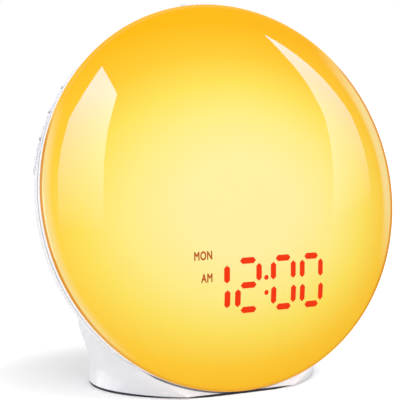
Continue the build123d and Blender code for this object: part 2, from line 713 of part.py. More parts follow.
with BuildPart() as display_shroud:
    with BuildSketch(DISPLAY):
        RectangleRounded(SHROUD_LENGTH, SHROUD_WIDTH, SHROUD_CORNER)
        Rectangle(
            SHROUD_LENGTH - 2 * SHROUD_WALL, SHROUD_WIDTH - 2 * SHROUD_WALL, mode=Mode.SUBTRACT
        )
    extrude(amount=DOME_RISE)
    add(lens_inside, mode=Mode.INTERSECT)
display_shroud.part.label = "display_shroud"
export_step(display_shroud.part, "parts/display_shroud.step")

with BuildPart() as display_light_guides:
    with BuildSketch(DISPLAY):
        Rectangle(
            SHROUD_LENGTH - 2 * SHROUD_WALL - 2 * CLEARANCE,
            SHROUD_WIDTH - 2 * SHROUD_WALL - 2 * CLEARANCE,
        )
    extrude(amount=GUIDE_PLATE)
    with BuildSketch(DISPLAY):
        for middle in digit_middles:
            for x, y, length, turn in bars:
                with Locations((middle + x, y)):
                    half = length / 2
                    shoulder = half - SEGMENT_THICK / 2
                    Polygon(
                        (-half, 0),
                        (-shoulder, -SEGMENT_THICK / 2),
                        (shoulder, -SEGMENT_THICK / 2),
                        (half, 0),
                        (shoulder, SEGMENT_THICK / 2),
                        (-shoulder, SEGMENT_THICK / 2),
                        rotation=turn,
                    )
        with Locations((0, -COLON_HALF_GAP), (0, COLON_HALF_GAP)):
            Circle(COLON_DOT)
    extrude(amount=DOME_RISE)
    add(lens_inside, mode=Mode.INTERSECT)
display_light_guides.part.label = "display_light_guides"
export_step(display_light_guides.part, "parts/display_light_guides.step")

# ---- Main board ----------------------------------------------------------------------

MAIN = DIAL.offset(-MAIN_SETBACK - BOARD)  # back face of the main board

with BuildPart() as main_board:
    with BuildSketch(MAIN):
        RectangleRounded(MAIN_LENGTH, MAIN_WIDTH, BOARD_CORNER)
        with Locations(*main_holes):
            Circle(through(BOARD_SCREW), mode=Mode.SUBTRACT)
    extrude(amount=BOARD)
main_board.part.label = "main_board"
export_step(main_board.part, "parts/main_board.step")

with BuildPart() as board_chips:
    for x, y, length, width, height in CHIPS:
        with BuildSketch(MAIN):
            with Locations((x, y)):
                Rectangle(length, width)
        extrude(amount=-height)
board_chips.part.label = "board_chips"
export_step(board_chips.part, "parts/board_chips.step")

with BuildPart() as capacitors:
    with BuildSketch(MAIN):
        with Locations(*capacitor_places):
            Circle(CAPACITOR_RADIUS)
    extrude(amount=-CAPACITOR_HEIGHT)
capacitors.part.label = "capacitors"
export_step(capacitors.part, "parts/capacitors.step")

with BuildPart() as board_header:
    with BuildSketch(DIAL.offset(-MAIN_SETBACK)):
        with Locations((0, HEADER_Y)):
            Rectangle(HEADER_LENGTH, HEADER_WIDTH)
    extrude(amount=MAIN_SETBACK + reflector_front)
board_header.part.label = "board_header"
export_step(board_header.part, "parts/board_header.step")

with BuildPart() as coin_cell_holder:
    with BuildSketch(MAIN):
        with Locations((CELL_X, CELL_Y)):
            RectangleRounded(HOLDER_SIZE, HOLDER_SIZE, HOLDER_CORNER)
    extrude(amount=-HOLDER_HEIGHT)
    with BuildSketch(MAIN.offset(-HOLDER_HEIGHT)):
        with Locations((CELL_X, CELL_Y)):
            Circle(CELL_RADIUS + CLEARANCE)
    extrude(amount=CELL_HEIGHT, mode=Mode.SUBTRACT)
coin_cell_holder.part.label = "coin_cell_holder"
export_step(coin_cell_holder.part, "parts/coin_cell_holder.step")

with BuildPart() as coin_cell:
    with BuildSketch(MAIN.offset(-HOLDER_HEIGHT)):
        with Locations((CELL_X, CELL_Y)):
            Circle(CELL_RADIUS)
    extrude(amount=CELL_HEIGHT)
    chamfer(coin_cell.faces().sort_by(DIAL_AXIS)[0].edges(), CELL_EDGE)
coin_cell.part.label = "coin_cell"
export_step(coin_cell.part, "parts/coin_cell.step")

# ---- Side keys, their boards and switches --------------------------------------------

stem_end = key_board_level + switch_rise + KEY_TRAVEL + SWITCH_PLAY

for side, frame in (("left", LEFT), ("right", RIGHT)):
    with BuildPart() as key_board:
        with BuildSketch(frame.offset(key_board_level)):
            RectangleRounded(KEY_BOARD_LENGTH, KEY_BOARD_WIDTH, BOARD_CORNER)
            with Locations((-KEY_BOARD_SCREWS / 2, 0), (KEY_BOARD_SCREWS / 2, 0)):
                Circle(through(BOARD_SCREW), mode=Mode.SUBTRACT)
        extrude(amount=-BOARD)
    key_board.part.label = f"{side}_key_board"
    export_step(key_board.part, f"parts/{side}_key_board.step")

    with BuildPart(frame.offset(key_board_level)) as key_switches:
        with Locations(*[(x, 0) for x in key_places]):
            Box(SWITCH_SIZE, SWITCH_SIZE, SWITCH_BODY, align=(Align.CENTER, Align.CENTER, Align.MIN))
            Cylinder(
                SWITCH_PLUNGER, switch_rise, align=(Align.CENTER, Align.CENTER, Align.MIN)
            )
    key_switches.part.label = f"{side}_key_switches"
    export_step(key_switches.part, f"parts/{side}_key_switches.step")

    # Keys are numbered from the top of the clock down.
    from_top = key_places if side == "left" else key_places[::-1]
    for number, x in enumerate(from_top, start=1):
        with BuildPart() as cap:
            with BuildSketch(frame.offset(key_skirt_level)):
                with Locations((x, 0)):
                    RectangleRounded(KEY_LENGTH, KEY_WIDTH, KEY_CORNER)
            extrude(amount=RIM_RADIUS)
            add(key_skin, mode=Mode.INTERSECT)
        with BuildPart() as flange:
            with BuildSketch(frame.offset(key_skirt_level)):
                with Locations((x, 0)):
                    Rectangle(KEY_LENGTH, KEY_WIDTH + 2 * KEY_FLANGE)
            extrude(amount=RIM_RADIUS)
            add(flange_skin, mode=Mode.INTERSECT)
        with BuildPart() as cavity:
            with BuildSketch(frame.offset(key_skirt_level)):
                with Locations((x, 0)):
                    Rectangle(KEY_LENGTH - 2 * KEY_SHELL, KEY_WIDTH - 2 * KEY_SHELL)
            extrude(amount=RIM_RADIUS)
            add(key_roof, mode=Mode.INTERSECT)
        with BuildPart() as stem:
            with BuildSketch(frame.offset(stem_end)):
                with Locations((x, 0)):
                    Circle(KEY_STEM)
            extrude(amount=RIM_RADIUS)
            add(key_roof, mode=Mode.INTERSECT)
        with BuildPart() as button:
            add(cap.part)
            top = button.faces().sort_by(Axis(frame.origin, frame.z_dir))[-1]
            fillet(top.edges(), KEY_EDGE)
            add(flange.part)
            add(cavity.part, mode=Mode.SUBTRACT)
            add(stem.part)
        button.part.label = f"{side}_button_{number}"
        export_step(button.part, f"parts/{side}_button_{number}.step")

# ---- Snooze bar ----------------------------------------------------------------------

slot_radius = SNOOZE_WIDTH / 2
straight = SNOOZE_LENGTH - SNOOZE_WIDTH
perimeter = 2 * straight + 2 * pi * slot_radius


def rib_place(distance):
    """A point on the bar's outline, by the distance run round it from one corner."""
    along = distance % perimeter
    half_turn = pi * slot_radius
    if along < straight:
        return (along - straight / 2, -slot_radius)
    along -= straight
    if along < half_turn:
        angle = along / slot_radius
        return (straight / 2 + slot_radius * sin(angle), -slot_radius * cos(angle))
    along -= half_turn
    if along < straight:
        return (straight / 2 - along, slot_radius)
    angle = (along - straight) / slot_radius
    return (-straight / 2 - slot_radius * sin(angle), slot_radius * cos(angle))


with BuildPart() as smooth_bar:
    with BuildSketch(SNOOZE.offset(snooze_skirt_level)):
        SlotOverall(SNOOZE_LENGTH, SNOOZE_WIDTH)
    extrude(amount=snooze_top - snooze_skirt_level)
    bar_top = smooth_bar.faces().sort_by(Axis(SNOOZE.origin, SNOOZE.z_dir))[-1]
    fillet(bar_top.edges(), SNOOZE_ROUNDING)

with BuildPart() as snooze_bar:
    with BuildSketch(SNOOZE.offset(snooze_skirt_level)):
        SlotOverall(SNOOZE_LENGTH, SNOOZE_WIDTH)
        with Locations(*[rib_place(i * perimeter / SNOOZE_RIBS) for i in range(SNOOZE_RIBS)]):
            Circle(SNOOZE_RIB_DEPTH, mode=Mode.SUBTRACT)
    extrude(amount=snooze_top - snooze_skirt_level)
    add(smooth_bar.part, mode=Mode.INTERSECT)
    # Below the wall the bar steps back, clear of the ring's web.
    neck_front = SNOOZE_SETBACK - web_back - 2 * KEY_CLEARANCE
    with BuildSketch(SNOOZE.offset(snooze_skirt_level)):
        with Locations((0, neck_front)):
            Rectangle(SNOOZE_LENGTH, SNOOZE_WIDTH, align=(Align.CENTER, Align.MIN))
    extrude(amount=snooze_neck_level - snooze_skirt_level, mode=Mode.SUBTRACT)

with BuildPart() as snooze_flange:
    with BuildSketch(SNOOZE.offset(snooze_skirt_level)):
        with Locations((0, neck_front)):
            Rectangle(
                SNOOZE_LENGTH + 2 * SNOOZE_FLANGE,
                neck_front + slot_radius + SNOOZE_FLANGE,
                align=(Align.CENTER, Align.MAX),
            )
    extrude(amount=RIM_RADIUS)
    add(flange_skin, mode=Mode.INTERSECT)

with BuildPart() as snooze_button:
    add(snooze_bar.part)
    add(snooze_flange.part)
    snooze_stem_end = snooze_board_level + switch_rise + SNOOZE_TRAVEL + SWITCH_PLAY
    with BuildSketch(SNOOZE_BOARD.offset(snooze_stem_end)):
        Circle(KEY_STEM)
    extrude(amount=snooze_skirt_level - snooze_stem_end)
snooze_button.part.label = "snooze_button"
export_step(snooze_button.part, "parts/snooze_button.step")

with BuildPart() as snooze_board:
    with BuildSketch(SNOOZE_BOARD.offset(snooze_board_level)):
        RectangleRounded(SNOOZE_BOARD_LENGTH, SNOOZE_BOARD_WIDTH, BOARD_CORNER)
        with Locations((-SNOOZE_BOARD_SCREWS / 2, 0), (SNOOZE_BOARD_SCREWS / 2, 0)):
            Circle(through(BOARD_SCREW), mode=Mode.SUBTRACT)
    extrude(amount=-BOARD)
snooze_board.part.label = "snooze_board"
export_step(snooze_board.part, "parts/snooze_board.step")

with BuildPart(SNOOZE_BOARD.offset(snooze_board_level)) as snooze_switch:
    Box(SWITCH_SIZE, SWITCH_SIZE, SWITCH_BODY, align=(Align.CENTER, Align.CENTER, Align.MIN))
    Cylinder(SWITCH_PLUNGER, switch_rise, align=(Align.CENTER, Align.CENTER, Align.MIN))
snooze_switch.part.label = "snooze_switch"
export_step(snooze_switch.part, "parts/snooze_switch.step")

# ---- Loudspeaker ---------------------------------------------------------------------

flange_back = -SPEAKER_SEAT + GASKET
flange_front = flange_back + SPEAKER_SHEET
basket_front = flange_front + SPEAKER_BASKET

with BuildPart() as speaker_gasket:
    with BuildSketch(DIAL.offset(-SPEAKER_SEAT)):
        Circle(SPEAKER_RADIUS)
        Circle(GASKET_INNER, mode=Mode.SUBTRACT)
        with Locations(*speaker_holes):
            Circle(through(SPEAKER_SCREW), mode=Mode.SUBTRACT)
    extrude(amount=GASKET)
speaker_gasket.part.label = "speaker_gasket"
export_step(speaker_gasket.part, "parts/speaker_gasket.step")

with BuildPart() as speaker_frame:
    with BuildSketch(SECTION):
        with BuildLine():
            Polyline(
                (SPEAKER_RADIUS, flange_back),
                (SPEAKER_RADIUS, flange_front),
                (SPEAKER_OPENING + SPEAKER_SHEET, flange_front),
                (SPEAKER_BASKET_BACK, basket_front - SPEAKER_SHEET),
                (SPEAKER_BASKET_BACK, basket_front),
                (0, basket_front),
                (0, basket_front - SPEAKER_SHEET),
                (SPEAKER_BASKET_BACK - SPEAKER_SHEET, basket_front - SPEAKER_SHEET),
                (SPEAKER_OPENING, flange_front),
                (SPEAKER_OPENING, flange_back),
                close=True,
            )
        make_face()
    revolve(axis=DIAL_AXIS)
    with BuildSketch(DIAL.offset(flange_back)):
        with Locations(*speaker_holes):
            Circle(through(SPEAKER_SCREW))
    extrude(amount=SPEAKER_SHEET, mode=Mode.SUBTRACT)
speaker_frame.part.label = "speaker_frame"
export_step(speaker_frame.part, "parts/speaker_frame.step")

cone_edge = SPEAKER_OPENING - FIT
coil_front = basket_front - SPEAKER_SHEET - CLEARANCE

cone_rear = flange_back + CONE_SHEET
neck_rear = flange_back + CONE_DEPTH - CONE_SHEET
surround = cone_edge - CONE_SURROUND
cap_rise = CONE_CAP - CONE_SHEET
cap_radius = (CONE_RADIUS**2 + cap_rise**2) / (2 * cap_rise)

with BuildPart() as speaker_cone:
    # A paper cone with a soft edge, a domed dust cap and a short coil tube.
    with BuildSketch(SECTION):
        with BuildLine():
            Polyline(
                (0, neck_rear - CONE_CAP),
                (0, neck_rear),
                (CONE_RADIUS - CONE_SHEET, neck_rear),
                (CONE_RADIUS - CONE_SHEET, coil_front),
                (CONE_RADIUS, coil_front),
                (CONE_RADIUS, neck_rear + CONE_SHEET),
                (surround, cone_rear + CONE_SHEET),
                (cone_edge, cone_rear + CONE_SHEET),
                (cone_edge, cone_rear),
                (surround, cone_rear),
                (CONE_RADIUS, neck_rear - CONE_SHEET),
            )
            RadiusArc((CONE_RADIUS, neck_rear - CONE_SHEET), (0, neck_rear - CONE_CAP), cap_radius)
        make_face()
    revolve(axis=DIAL_AXIS)
speaker_cone.part.label = "speaker_cone"
export_step(speaker_cone.part, "parts/speaker_cone.step")

with BuildPart() as speaker_magnet:
    with BuildSketch(DIAL.offset(basket_front)):
        Circle(MAGNET_RADIUS)
    extrude(amount=MAGNET_HEIGHT)
    chamfer(speaker_magnet.faces().sort_by(DIAL_AXIS)[-1].edges(), MAGNET_EDGE)
speaker_magnet.part.label = "speaker_magnet"
export_step(speaker_magnet.part, "parts/speaker_magnet.step")

# ---- Screws --------------------------------------------------------------------------


def facing_back(place, setback):
    """A frame on the dial at a point, looking out of the back of the clock."""
    return DIAL * Pos(place[0], place[1], -setback) * Rot(0, 180, 0)


def facing_front(place, height):
    """A frame on the dial at a point, looking out of the front."""
    return DIAL * Pos(place[0], place[1], height)


board_ends = [
    key.offset(level - BOARD) * Pos(side * span / 2, 0, 0) * Rot(0, 180, 0)
    for key, level, span in (
        (LEFT, key_board_level, KEY_BOARD_SCREWS),
        (RIGHT, key_board_level, KEY_BOARD_SCREWS),
        (SNOOZE_BOARD, snooze_board_level, SNOOZE_BOARD_SCREWS),
    )
    for side in (-1, 1)
]
screw_sets = {
    "housing_screws": (
        HOUSING_SCREW,
        [facing_back(place, post_seat + POST_FLOOR) for place in posts],
    ),
    "base_screws": (
        BASE_SCREW,
        [Plane.XY * Pos(x, y, PAD + BASE_SCREW[1]) * Rot(180, 0, 0) for x, y in BASE_BOSSES],
    ),
    "main_board_screws": (
        BOARD_SCREW,
        [facing_back(place, MAIN_SETBACK + BOARD) for place in main_holes],
    ),
    "led_board_screws": (
        BOARD_SCREW,
        [facing_front(place, board_front) for place in led_holes],
    ),
    "display_screws": (
        BOARD_SCREW,
        [facing_front(place, board_front) for place in display_holes],
    ),
    "key_board_screws": (BOARD_SCREW, board_ends),
    "speaker_screws": (
        SPEAKER_SCREW,
        [facing_front(place, flange_front) for place in speaker_holes],
    ),
    "inlet_screws": (
        BOARD_SCREW,
        [Plane.XY * Pos(x, inlet_middle + y, inlet_bottom) for x, y in inlet_holes],
    ),
}

for name, (sizes, places) in screw_sets.items():
    screw = screw_form(sizes)
    with BuildPart() as screws:
        with Locations(*places):
            add(screw)
    screws.part.label = name
    export_step(screws.part, f"parts/{name}.step")
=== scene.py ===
"""A sunrise alarm clock, dressed for its picture.

The packed CAD model is the frame, and every piece rides on one of its bodies.
The dial is the round front. It leans back, and has a frame of its own:
x to the right, y up along the dial, z out of it, with its origin in the middle of the rim.
"""

import json
import math

import bmesh
import bpy
import numpy as np
from bpy.props import FloatProperty, FloatVectorProperty, IntProperty
from bpy.props import PointerProperty, StringProperty
from mathutils import Matrix, Vector

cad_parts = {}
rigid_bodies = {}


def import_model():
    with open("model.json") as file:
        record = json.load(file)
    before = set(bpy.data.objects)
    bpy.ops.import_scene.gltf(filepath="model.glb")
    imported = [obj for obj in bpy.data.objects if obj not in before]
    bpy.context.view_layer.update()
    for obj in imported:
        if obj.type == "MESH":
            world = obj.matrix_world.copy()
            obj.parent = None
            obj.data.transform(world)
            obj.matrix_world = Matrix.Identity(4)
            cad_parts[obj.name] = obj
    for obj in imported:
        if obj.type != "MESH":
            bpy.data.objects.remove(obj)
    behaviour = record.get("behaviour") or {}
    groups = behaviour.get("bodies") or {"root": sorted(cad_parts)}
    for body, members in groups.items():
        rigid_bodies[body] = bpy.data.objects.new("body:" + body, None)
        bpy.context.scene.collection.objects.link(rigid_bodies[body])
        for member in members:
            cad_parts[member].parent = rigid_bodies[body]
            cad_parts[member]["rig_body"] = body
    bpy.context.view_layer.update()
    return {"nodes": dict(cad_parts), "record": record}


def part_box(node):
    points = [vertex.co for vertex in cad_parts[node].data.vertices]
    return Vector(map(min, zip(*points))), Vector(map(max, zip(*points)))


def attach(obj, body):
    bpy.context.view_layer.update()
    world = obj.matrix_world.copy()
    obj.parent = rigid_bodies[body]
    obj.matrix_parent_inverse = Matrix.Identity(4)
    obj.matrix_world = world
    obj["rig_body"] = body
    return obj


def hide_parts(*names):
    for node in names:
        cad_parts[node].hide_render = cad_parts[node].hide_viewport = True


bl_info = {
    "name": "Sunrise Alarm Clock",
    "version": (1, 0, 0),
    "blender": (4, 5, 0),
    "location": "View3D > Sidebar > Clock",
    "description": "Dresses the packed model of a sunrise alarm clock",
    "category": "Add Mesh",
}

WELD = 1e-6  # points nearer than this are one point
MM = 0.001

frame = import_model()
RIM_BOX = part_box("front_ring")


def paint(red, green, blue):
    """A colour as it looks on a screen, 0 to 255, in the scene's own linear values."""
    return tuple(
        ((c / 255 + 0.055) / 1.055) ** 2.4 if c > 10 else c / 255 / 12.92
        for c in (red, green, blue)
    )


def number(name, description, default, **kind):
    return FloatProperty(name=name, description=description, default=default, **kind)


def length(name, description, default):
    return number(name, description, default, unit="LENGTH", precision=5)


def triple(name, description, default, **kind):
    return FloatVectorProperty(name=name, description=description, default=default, size=3, **kind)


def colour(name, description, default):
    return triple(name, description, default, min=0, max=1, subtype="COLOR")


def place(name, description, default):
    return triple(name, description, default, subtype="TRANSLATION", unit="LENGTH")


# ---- Sizes and colours that a user may change ----


class ClockDial(bpy.types.PropertyGroup):
    """The round front and the translucent dome on it."""

    lean: number("Lean", "How far the dial leans back", math.radians(13.6), subtype="ANGLE")
    middle: place("Middle", "Middle of the rim", (0, -0.0225, 0.0894))
    radius: length("Radius", "Radius of the rim", (RIM_BOX[1].x - RIM_BOX[0].x) / 2)
    skirt: length("Skirt", "Straight edge of the dome", 3.5 * MM)
    rise: length("Rise", "Rise of the dome above its skirt", 26.5 * MM)
    wall: length("Wall", "Thickness of the dome", 2 * MM)
    edge: length("Edge", "Rounding between skirt and dome", 6 * MM)
    steps: IntProperty(name="Steps", description="Steps round the dome", default=288)
    seam: length("Seam", "Groove between ring and housing, behind the rim", 3.2 * MM)
    # Painted shade along the seam groove: how far it reaches and how strong it is.
    seam_shade_reach: length("Seam Reach", "How far beside it the plastic is darker", 0.9 * MM)
    seam_shade_strength: number("Seam Dark", "How much darker", 0.75)


class ClockGlow(bpy.types.PropertyGroup):
    """The light that comes through the dome, from its heart to the rim."""

    heart_x: length("Heart X", "Middle of the glow on the dial", -6 * MM)
    heart_y: length("Heart Y", "Middle of the glow on the dial", -8 * MM)
    widening: number("Widening", "Share of the sideways distance that counts", 0.8)
    reach: length("Reach", "How far from the heart the glow is amber", 92 * MM)
    heart: colour("Heart", "Glow in the middle", paint(255, 239, 161))
    halo: colour("Halo", "Glow round the heart", paint(255, 236, 133))
    yellow: colour("Yellow", "Glow half way out", paint(254, 225, 91))
    warm: colour("Warm", "Glow near the rim", paint(255, 203, 52))
    amber: colour("Amber", "Glow at the rim", paint(254, 185, 12))
    # The skirt line is painted shade: the skirt's darker orange where it is seen at a slant.
    skirt_shade_line: colour("Rim Line", "The dome's skirt, seen from its side", paint(226, 148, 36))
    # The rim band and the band settings below paint a highlight: a pale band of glow inside the
    # left and right edge.
    rim_highlight: colour("Rim Band", "Light gathered at the left and right", paint(253, 230, 160))
    strength: number("Strength", "Strength of the glow", 0.72)
    tint: number("Tint", "Share of the glow's colour that the plastic has", 0.26)
    band_shift: length("Band Shift", "How much nearer the rim it gathers on the left", 2.9 * MM)
    band_reach: length("Band Reach", "Radius at which it begins", 85.1 * MM)
    band_strength: number("Band Strength", "Share of the band's colour in it", 0.8)


class ClockDisplay(bpy.types.PropertyGroup):
    """The time and the two words that shine through the dome."""

    time_x: length("Time X", "Middle of the second digit", -4.7 * MM)
    time_y: length("Time Y", "Middle of the digits", -42.96 * MM)
    pitch: length("Pitch", "From digit to digit of one pair", 15.64 * MM)
    pair_gap: length("Pair Gap", "From the second digit to the third", 18.03 * MM)
    half_width: length("Half Width", "From a digit's middle to its upright bars", 5.31 * MM)
    half_height: length("Half Height", "From a digit's middle to its top bar", 10.78 * MM)
    lean: number("Lean", "Sideways lean of the digits", -0.03)
    bar_length: length("Bar Length", "Length of one bar, with its points", 7.9 * MM)
    bar_width: length("Bar Width", "Width of one bar", 2.75 * MM)
    bar_point: length("Bar Point", "Length of a bar's pointed end", 1.2 * MM)
    colon_x: length("Colon X", "Middle of the colon", 4.3 * MM)
    colon_y: length("Colon Y", "Middle of the colon", -43.6 * MM)
    colon_gap: length("Colon Gap", "From the colon's middle to a dot", 3.32 * MM)
    dot_radius: length("Dot Radius", "Radius of a dot", 1.1 * MM)
    relief: length("Relief", "How far the lit bars stand out of the dome", 0.06 * MM)
    words_x: length("Words X", "Right end of both words", -22 * MM)
    cap_height: length("Cap Height", "Height of the letters", 3.95 * MM)
    day_y: length("Day Y", "Foot of the upper word", -30.5 * MM)
    half_y: length("Half Y", "Foot of the lower word", -40.3 * MM)
    day: StringProperty(name="Day", description="The upper word", default="MON")
    half: StringProperty(name="Half", description="The lower word", default="AM")
    digit: colour("Digit", "Lit bars", paint(246, 54, 6))
    word: colour("Word", "Lit words", paint(186, 80, 24))


class ClockFinish(bpy.types.PropertyGroup):
    """Colours of the mouldings and of the parts inside."""

    shell: colour("Shell", "Satin white housing", paint(242, 242, 247))
    ring: colour("Ring", "Polished white ring", paint(250, 250, 252))
    keys: colour("Keys", "Side keys and snooze bar", paint(236, 236, 241))
    rubber: colour("Rubber", "Anti-slip pad", paint(62, 62, 68))
    board_green: colour("Green Board", "Solder mask", paint(20, 92, 52))
    board_white: colour("White Board", "Solder mask of the lamp board", paint(232, 234, 232))
    black: colour("Black", "Black mouldings", paint(34, 34, 37))
    guide: colour("Guide", "Clear light guides", paint(238, 226, 224))
    lamp: colour("Lamp", "Lamp packages", paint(255, 226, 150))
    cone: colour("Cone", "Loudspeaker cone", paint(58, 57, 60))
    foam: colour("Foam", "Loudspeaker gasket", paint(70, 70, 72))
    magnet: colour("Magnet", "Ferrite", paint(92, 92, 96))
    steel: colour("Steel", "Zinc-plated steel", paint(196, 197, 201))
    brass: colour("Brass", "Plated contact pin", paint(214, 184, 120))


class ClockStudio(bpy.types.PropertyGroup):
    """Camera, lamps and surroundings."""

    camera: place("Camera", "Where the camera stands", (-0.33205, -0.67699, 0.17889))
    look: triple("Look", "Where the camera looks", (0.4355, 0.8916, -0.1237))
    focal: number("Focal Length", "Camera lens, in millimetres", 144)
    surround: number("Surround", "Light from all round", 0.66)
    mirrored: number("Mirrored", "Dim side of the surroundings, as glossy pieces mirror it", 0.2)
    floor: number("Floor", "Whiteness of the floor", 0.8)
    # The floor's shade is painted: less glow round this point deepens the clock's real shadow.
    shade: place("Shade", "Middle of the floor's shade", (-0.02, 0.03, 0))
    near_glow: number("Near Glow", "Added to the floor in the shade, where it is seen", 0.17)
    far_glow: number("Far Glow", "Added to the floor outside the shade", 0.5)
    glow_start: length("Glow Start", "How far from the shade's middle the glow begins", 0.03)
    glow_end: length("Glow End", "Distance at which it is full", 0.1)
    key_power: number("Key", "Power of the key lamp", 24, unit="POWER")
    fill_power: number("Fill", "Power of the fill lamp", 7, unit="POWER")
    card_colour: colour("Card Colour", "Tint of the softboxes in the dome", (0.42, 0.5, 1.0))
    card_distance: length("Card Distance", "How far off the softboxes stand", 2.0)
    left_card: number("Left Card", "Strength of the left softbox", 18.5)
    right_card: number("Right Card", "Strength of the right softbox", 16)
    side_card: number("Side Card", "Strength of the card that shines along the foot", 3.2)


# ---- Node trees ----


class Wire:
    """One socket of a node tree. Arithmetic on wires adds the Math nodes that work it out."""

    def __init__(self, bench, socket):
        self.bench = bench
        self.socket = socket

    def math(self, operation, *others):
        """An operation on this wire, and on others where it takes them."""
        values = dict(enumerate((self, *others)))
        return self.bench.add("ShaderNodeMath", {"operation": operation}, values)

    def __add__(self, other):
        return self.math("ADD", other)

    def __sub__(self, other):
        return self.math("SUBTRACT", other)

    def __rsub__(self, other):
        return self.bench.add("ShaderNodeMath", {"operation": "SUBTRACT"}, {0: other, 1: self})

    def __mul__(self, other):
        return self.math("MULTIPLY", other)

    def __truediv__(self, other):
        return self.math("DIVIDE", other)

    def __mod__(self, other):
        return self.math("FLOORED_MODULO", other)

    __radd__ = __add__
    __rmul__ = __mul__


def distance(x, y):
    """Length of a flat vector, given by two wires."""
    return (x * x + y * y).math("SQRT")


class Bench:
    """A node tree under construction."""

    def __init__(self, tree):
        self.tree = tree

    def add(self, kind, settings=None, sockets=None, output=0):
        """Adds a node, sets it up, feeds its sockets and gives one of its outputs."""
        node = self.tree.nodes.new(kind)
        for name, value in (settings or {}).items():
            if name == "stops":
                self.set_ramp(node.color_ramp, value)
            else:
                setattr(node, name, value)
        for key, value in (sockets or {}).items():
            if isinstance(value, Wire):
                self.tree.links.new(value.socket, node.inputs[key])
            else:
                node.inputs[key].default_value = value
        return Wire(self, node.outputs[output])

    def end(self, kind, socket, wire):
        """Adds the tree's output node and feeds it."""
        self.tree.links.new(wire.socket, self.tree.nodes.new(kind).inputs[socket])

    @staticmethod
    def set_ramp(ramp, stops):
        for spare in list(ramp.elements)[1:]:
            ramp.elements.remove(spare)
        for index, (position, value) in enumerate(stops):
            stop = ramp.elements[0] if index == 0 else ramp.elements.new(position)
            stop.position = position
            stop.color = (*value, 1)

    def parts(self, vector):
        """The x, y and z of a vector."""
        x = self.add("ShaderNodeSeparateXYZ", None, {0: vector}, "X")
        return (x, Wire(self, x.socket.node.outputs["Y"]), Wire(self, x.socket.node.outputs["Z"]))

    def vector(self, x, y, z):
        return self.add("ShaderNodeCombineXYZ", None, {"X": x, "Y": y, "Z": z})

    def ramp(self, value, start, end, low=0.0, high=1.0, kind="LINEAR"):
        """Runs from low at start to high at end."""
        sockets = {"Value": value, "From Min": start, "From Max": end}
        sockets |= {"To Min": low, "To Max": high}
        return self.add("ShaderNodeMapRange", {"interpolation_type": kind}, sockets)


class Finish(Bench):
    """A material under construction. Patterns are placed by object coordinates, in metres."""

    def __init__(self, name):
        self.material = bpy.data.materials.new(name)
        self.material.use_nodes = True
        super().__init__(self.material.node_tree)
        self.shader = self.tree.nodes["Principled BSDF"]
        self.place = self.add("ShaderNodeTexCoord", None, None, "Object")

    def set(self, **sockets):
        """Sets or links sockets of the shader, such as Base_Color for Base Color."""
        for key, value in sockets.items():
            socket = self.shader.inputs[key.replace("_", " ")]
            if isinstance(value, Wire):
                self.tree.links.new(value.socket, socket)
            elif socket.type == "RGBA":
                socket.default_value = (*value, 1)
            else:
                socket.default_value = value

    def noise(self, size, detail=2.0, roughness=0.5, stretch=(1, 1, 1)):
        """Soft noise with features of about the given size."""
        spread = self.add("ShaderNodeMapping", None, {"Vector": self.place, "Scale": stretch})
        sockets = {"Vector": spread, "Scale": 1 / size, "Detail": detail, "Roughness": roughness}
        return self.add("ShaderNodeTexNoise", None, sockets, "Fac")

    def cells(self, size, metric="EUCLIDEAN"):
        """Distance from the middles of irregular cells of about the given size."""
        settings = {"feature": "F1", "distance": metric}
        sockets = {"Vector": self.place, "Scale": 1 / size}
        return self.add("ShaderNodeTexVoronoi", settings, sockets, "Distance")

    def blend(self, factor, low, high):
        """A colour between two."""
        ends = [end if isinstance(end, Wire) else (*end, 1) for end in (low, high)]
        sockets = {0: factor, 6: ends[0], 7: ends[1]}
        return self.add("ShaderNodeMix", {"data_type": "RGBA"}, sockets, 2)

    def mottle(self, pattern, value, low, high):
        """Shades of one colour, from a low to a high share of it, laid out by a pattern."""
        ends = [[min(c * share, 1) for c in value] for share in (low, high)]
        return self.blend(pattern, *ends)

    def dim(self, value, share):
        """A colour made darker by a share."""
        return self.add("ShaderNodeVectorMath", {"operation": "SCALE"}, {0: value, "Scale": share})

    def step(self, value, start, end):
        """Runs smoothly from 0 at start to 1 at end."""
        return self.ramp(value, start, end, kind="SMOOTHSTEP")

    def bump(self, height, depth, strength=1.0):
        """Relief of the given depth, in metres."""
        sockets = {"Strength": strength, "Distance": depth, "Height": height}
        self.set(Normal=self.add("ShaderNodeBump", None, sockets))

    def dial_place(self):
        """Place on the dial, in the dial's own frame."""
        dial = bpy.context.scene.clock_dial
        sockets = {
            "Vector": self.place,
            "Location": dial.middle,
            "Rotation": (math.pi / 2 - dial.lean, 0, 0),
        }
        return self.parts(self.add("ShaderNodeMapping", {"vector_type": "TEXTURE"}, sockets))


def painted_seam_shade(finish, tone):
    """Darkens a colour along the groove between ring and housing: painted shade, so that the
    groove's thin shadow shows as a dark line.
    """
    dial = bpy.context.scene.clock_dial
    x, y, z = finish.dial_place()
    near = finish.step((z + dial.seam).math("ABSOLUTE"), dial.seam_shade_reach, 0.4 * MM)
    near = near * finish.step(distance(x, y), dial.radius + dial.seam_shade_reach, dial.radius + 0.2 * MM)
    return finish.dim(tone, 1 - near * dial.seam_shade_strength)


# ---- Finishes ----

DOME_POLISH = {"Specular_IOR_Level": 0.0, "Coat_Roughness": 0.02, "Coat_IOR": 1.42}


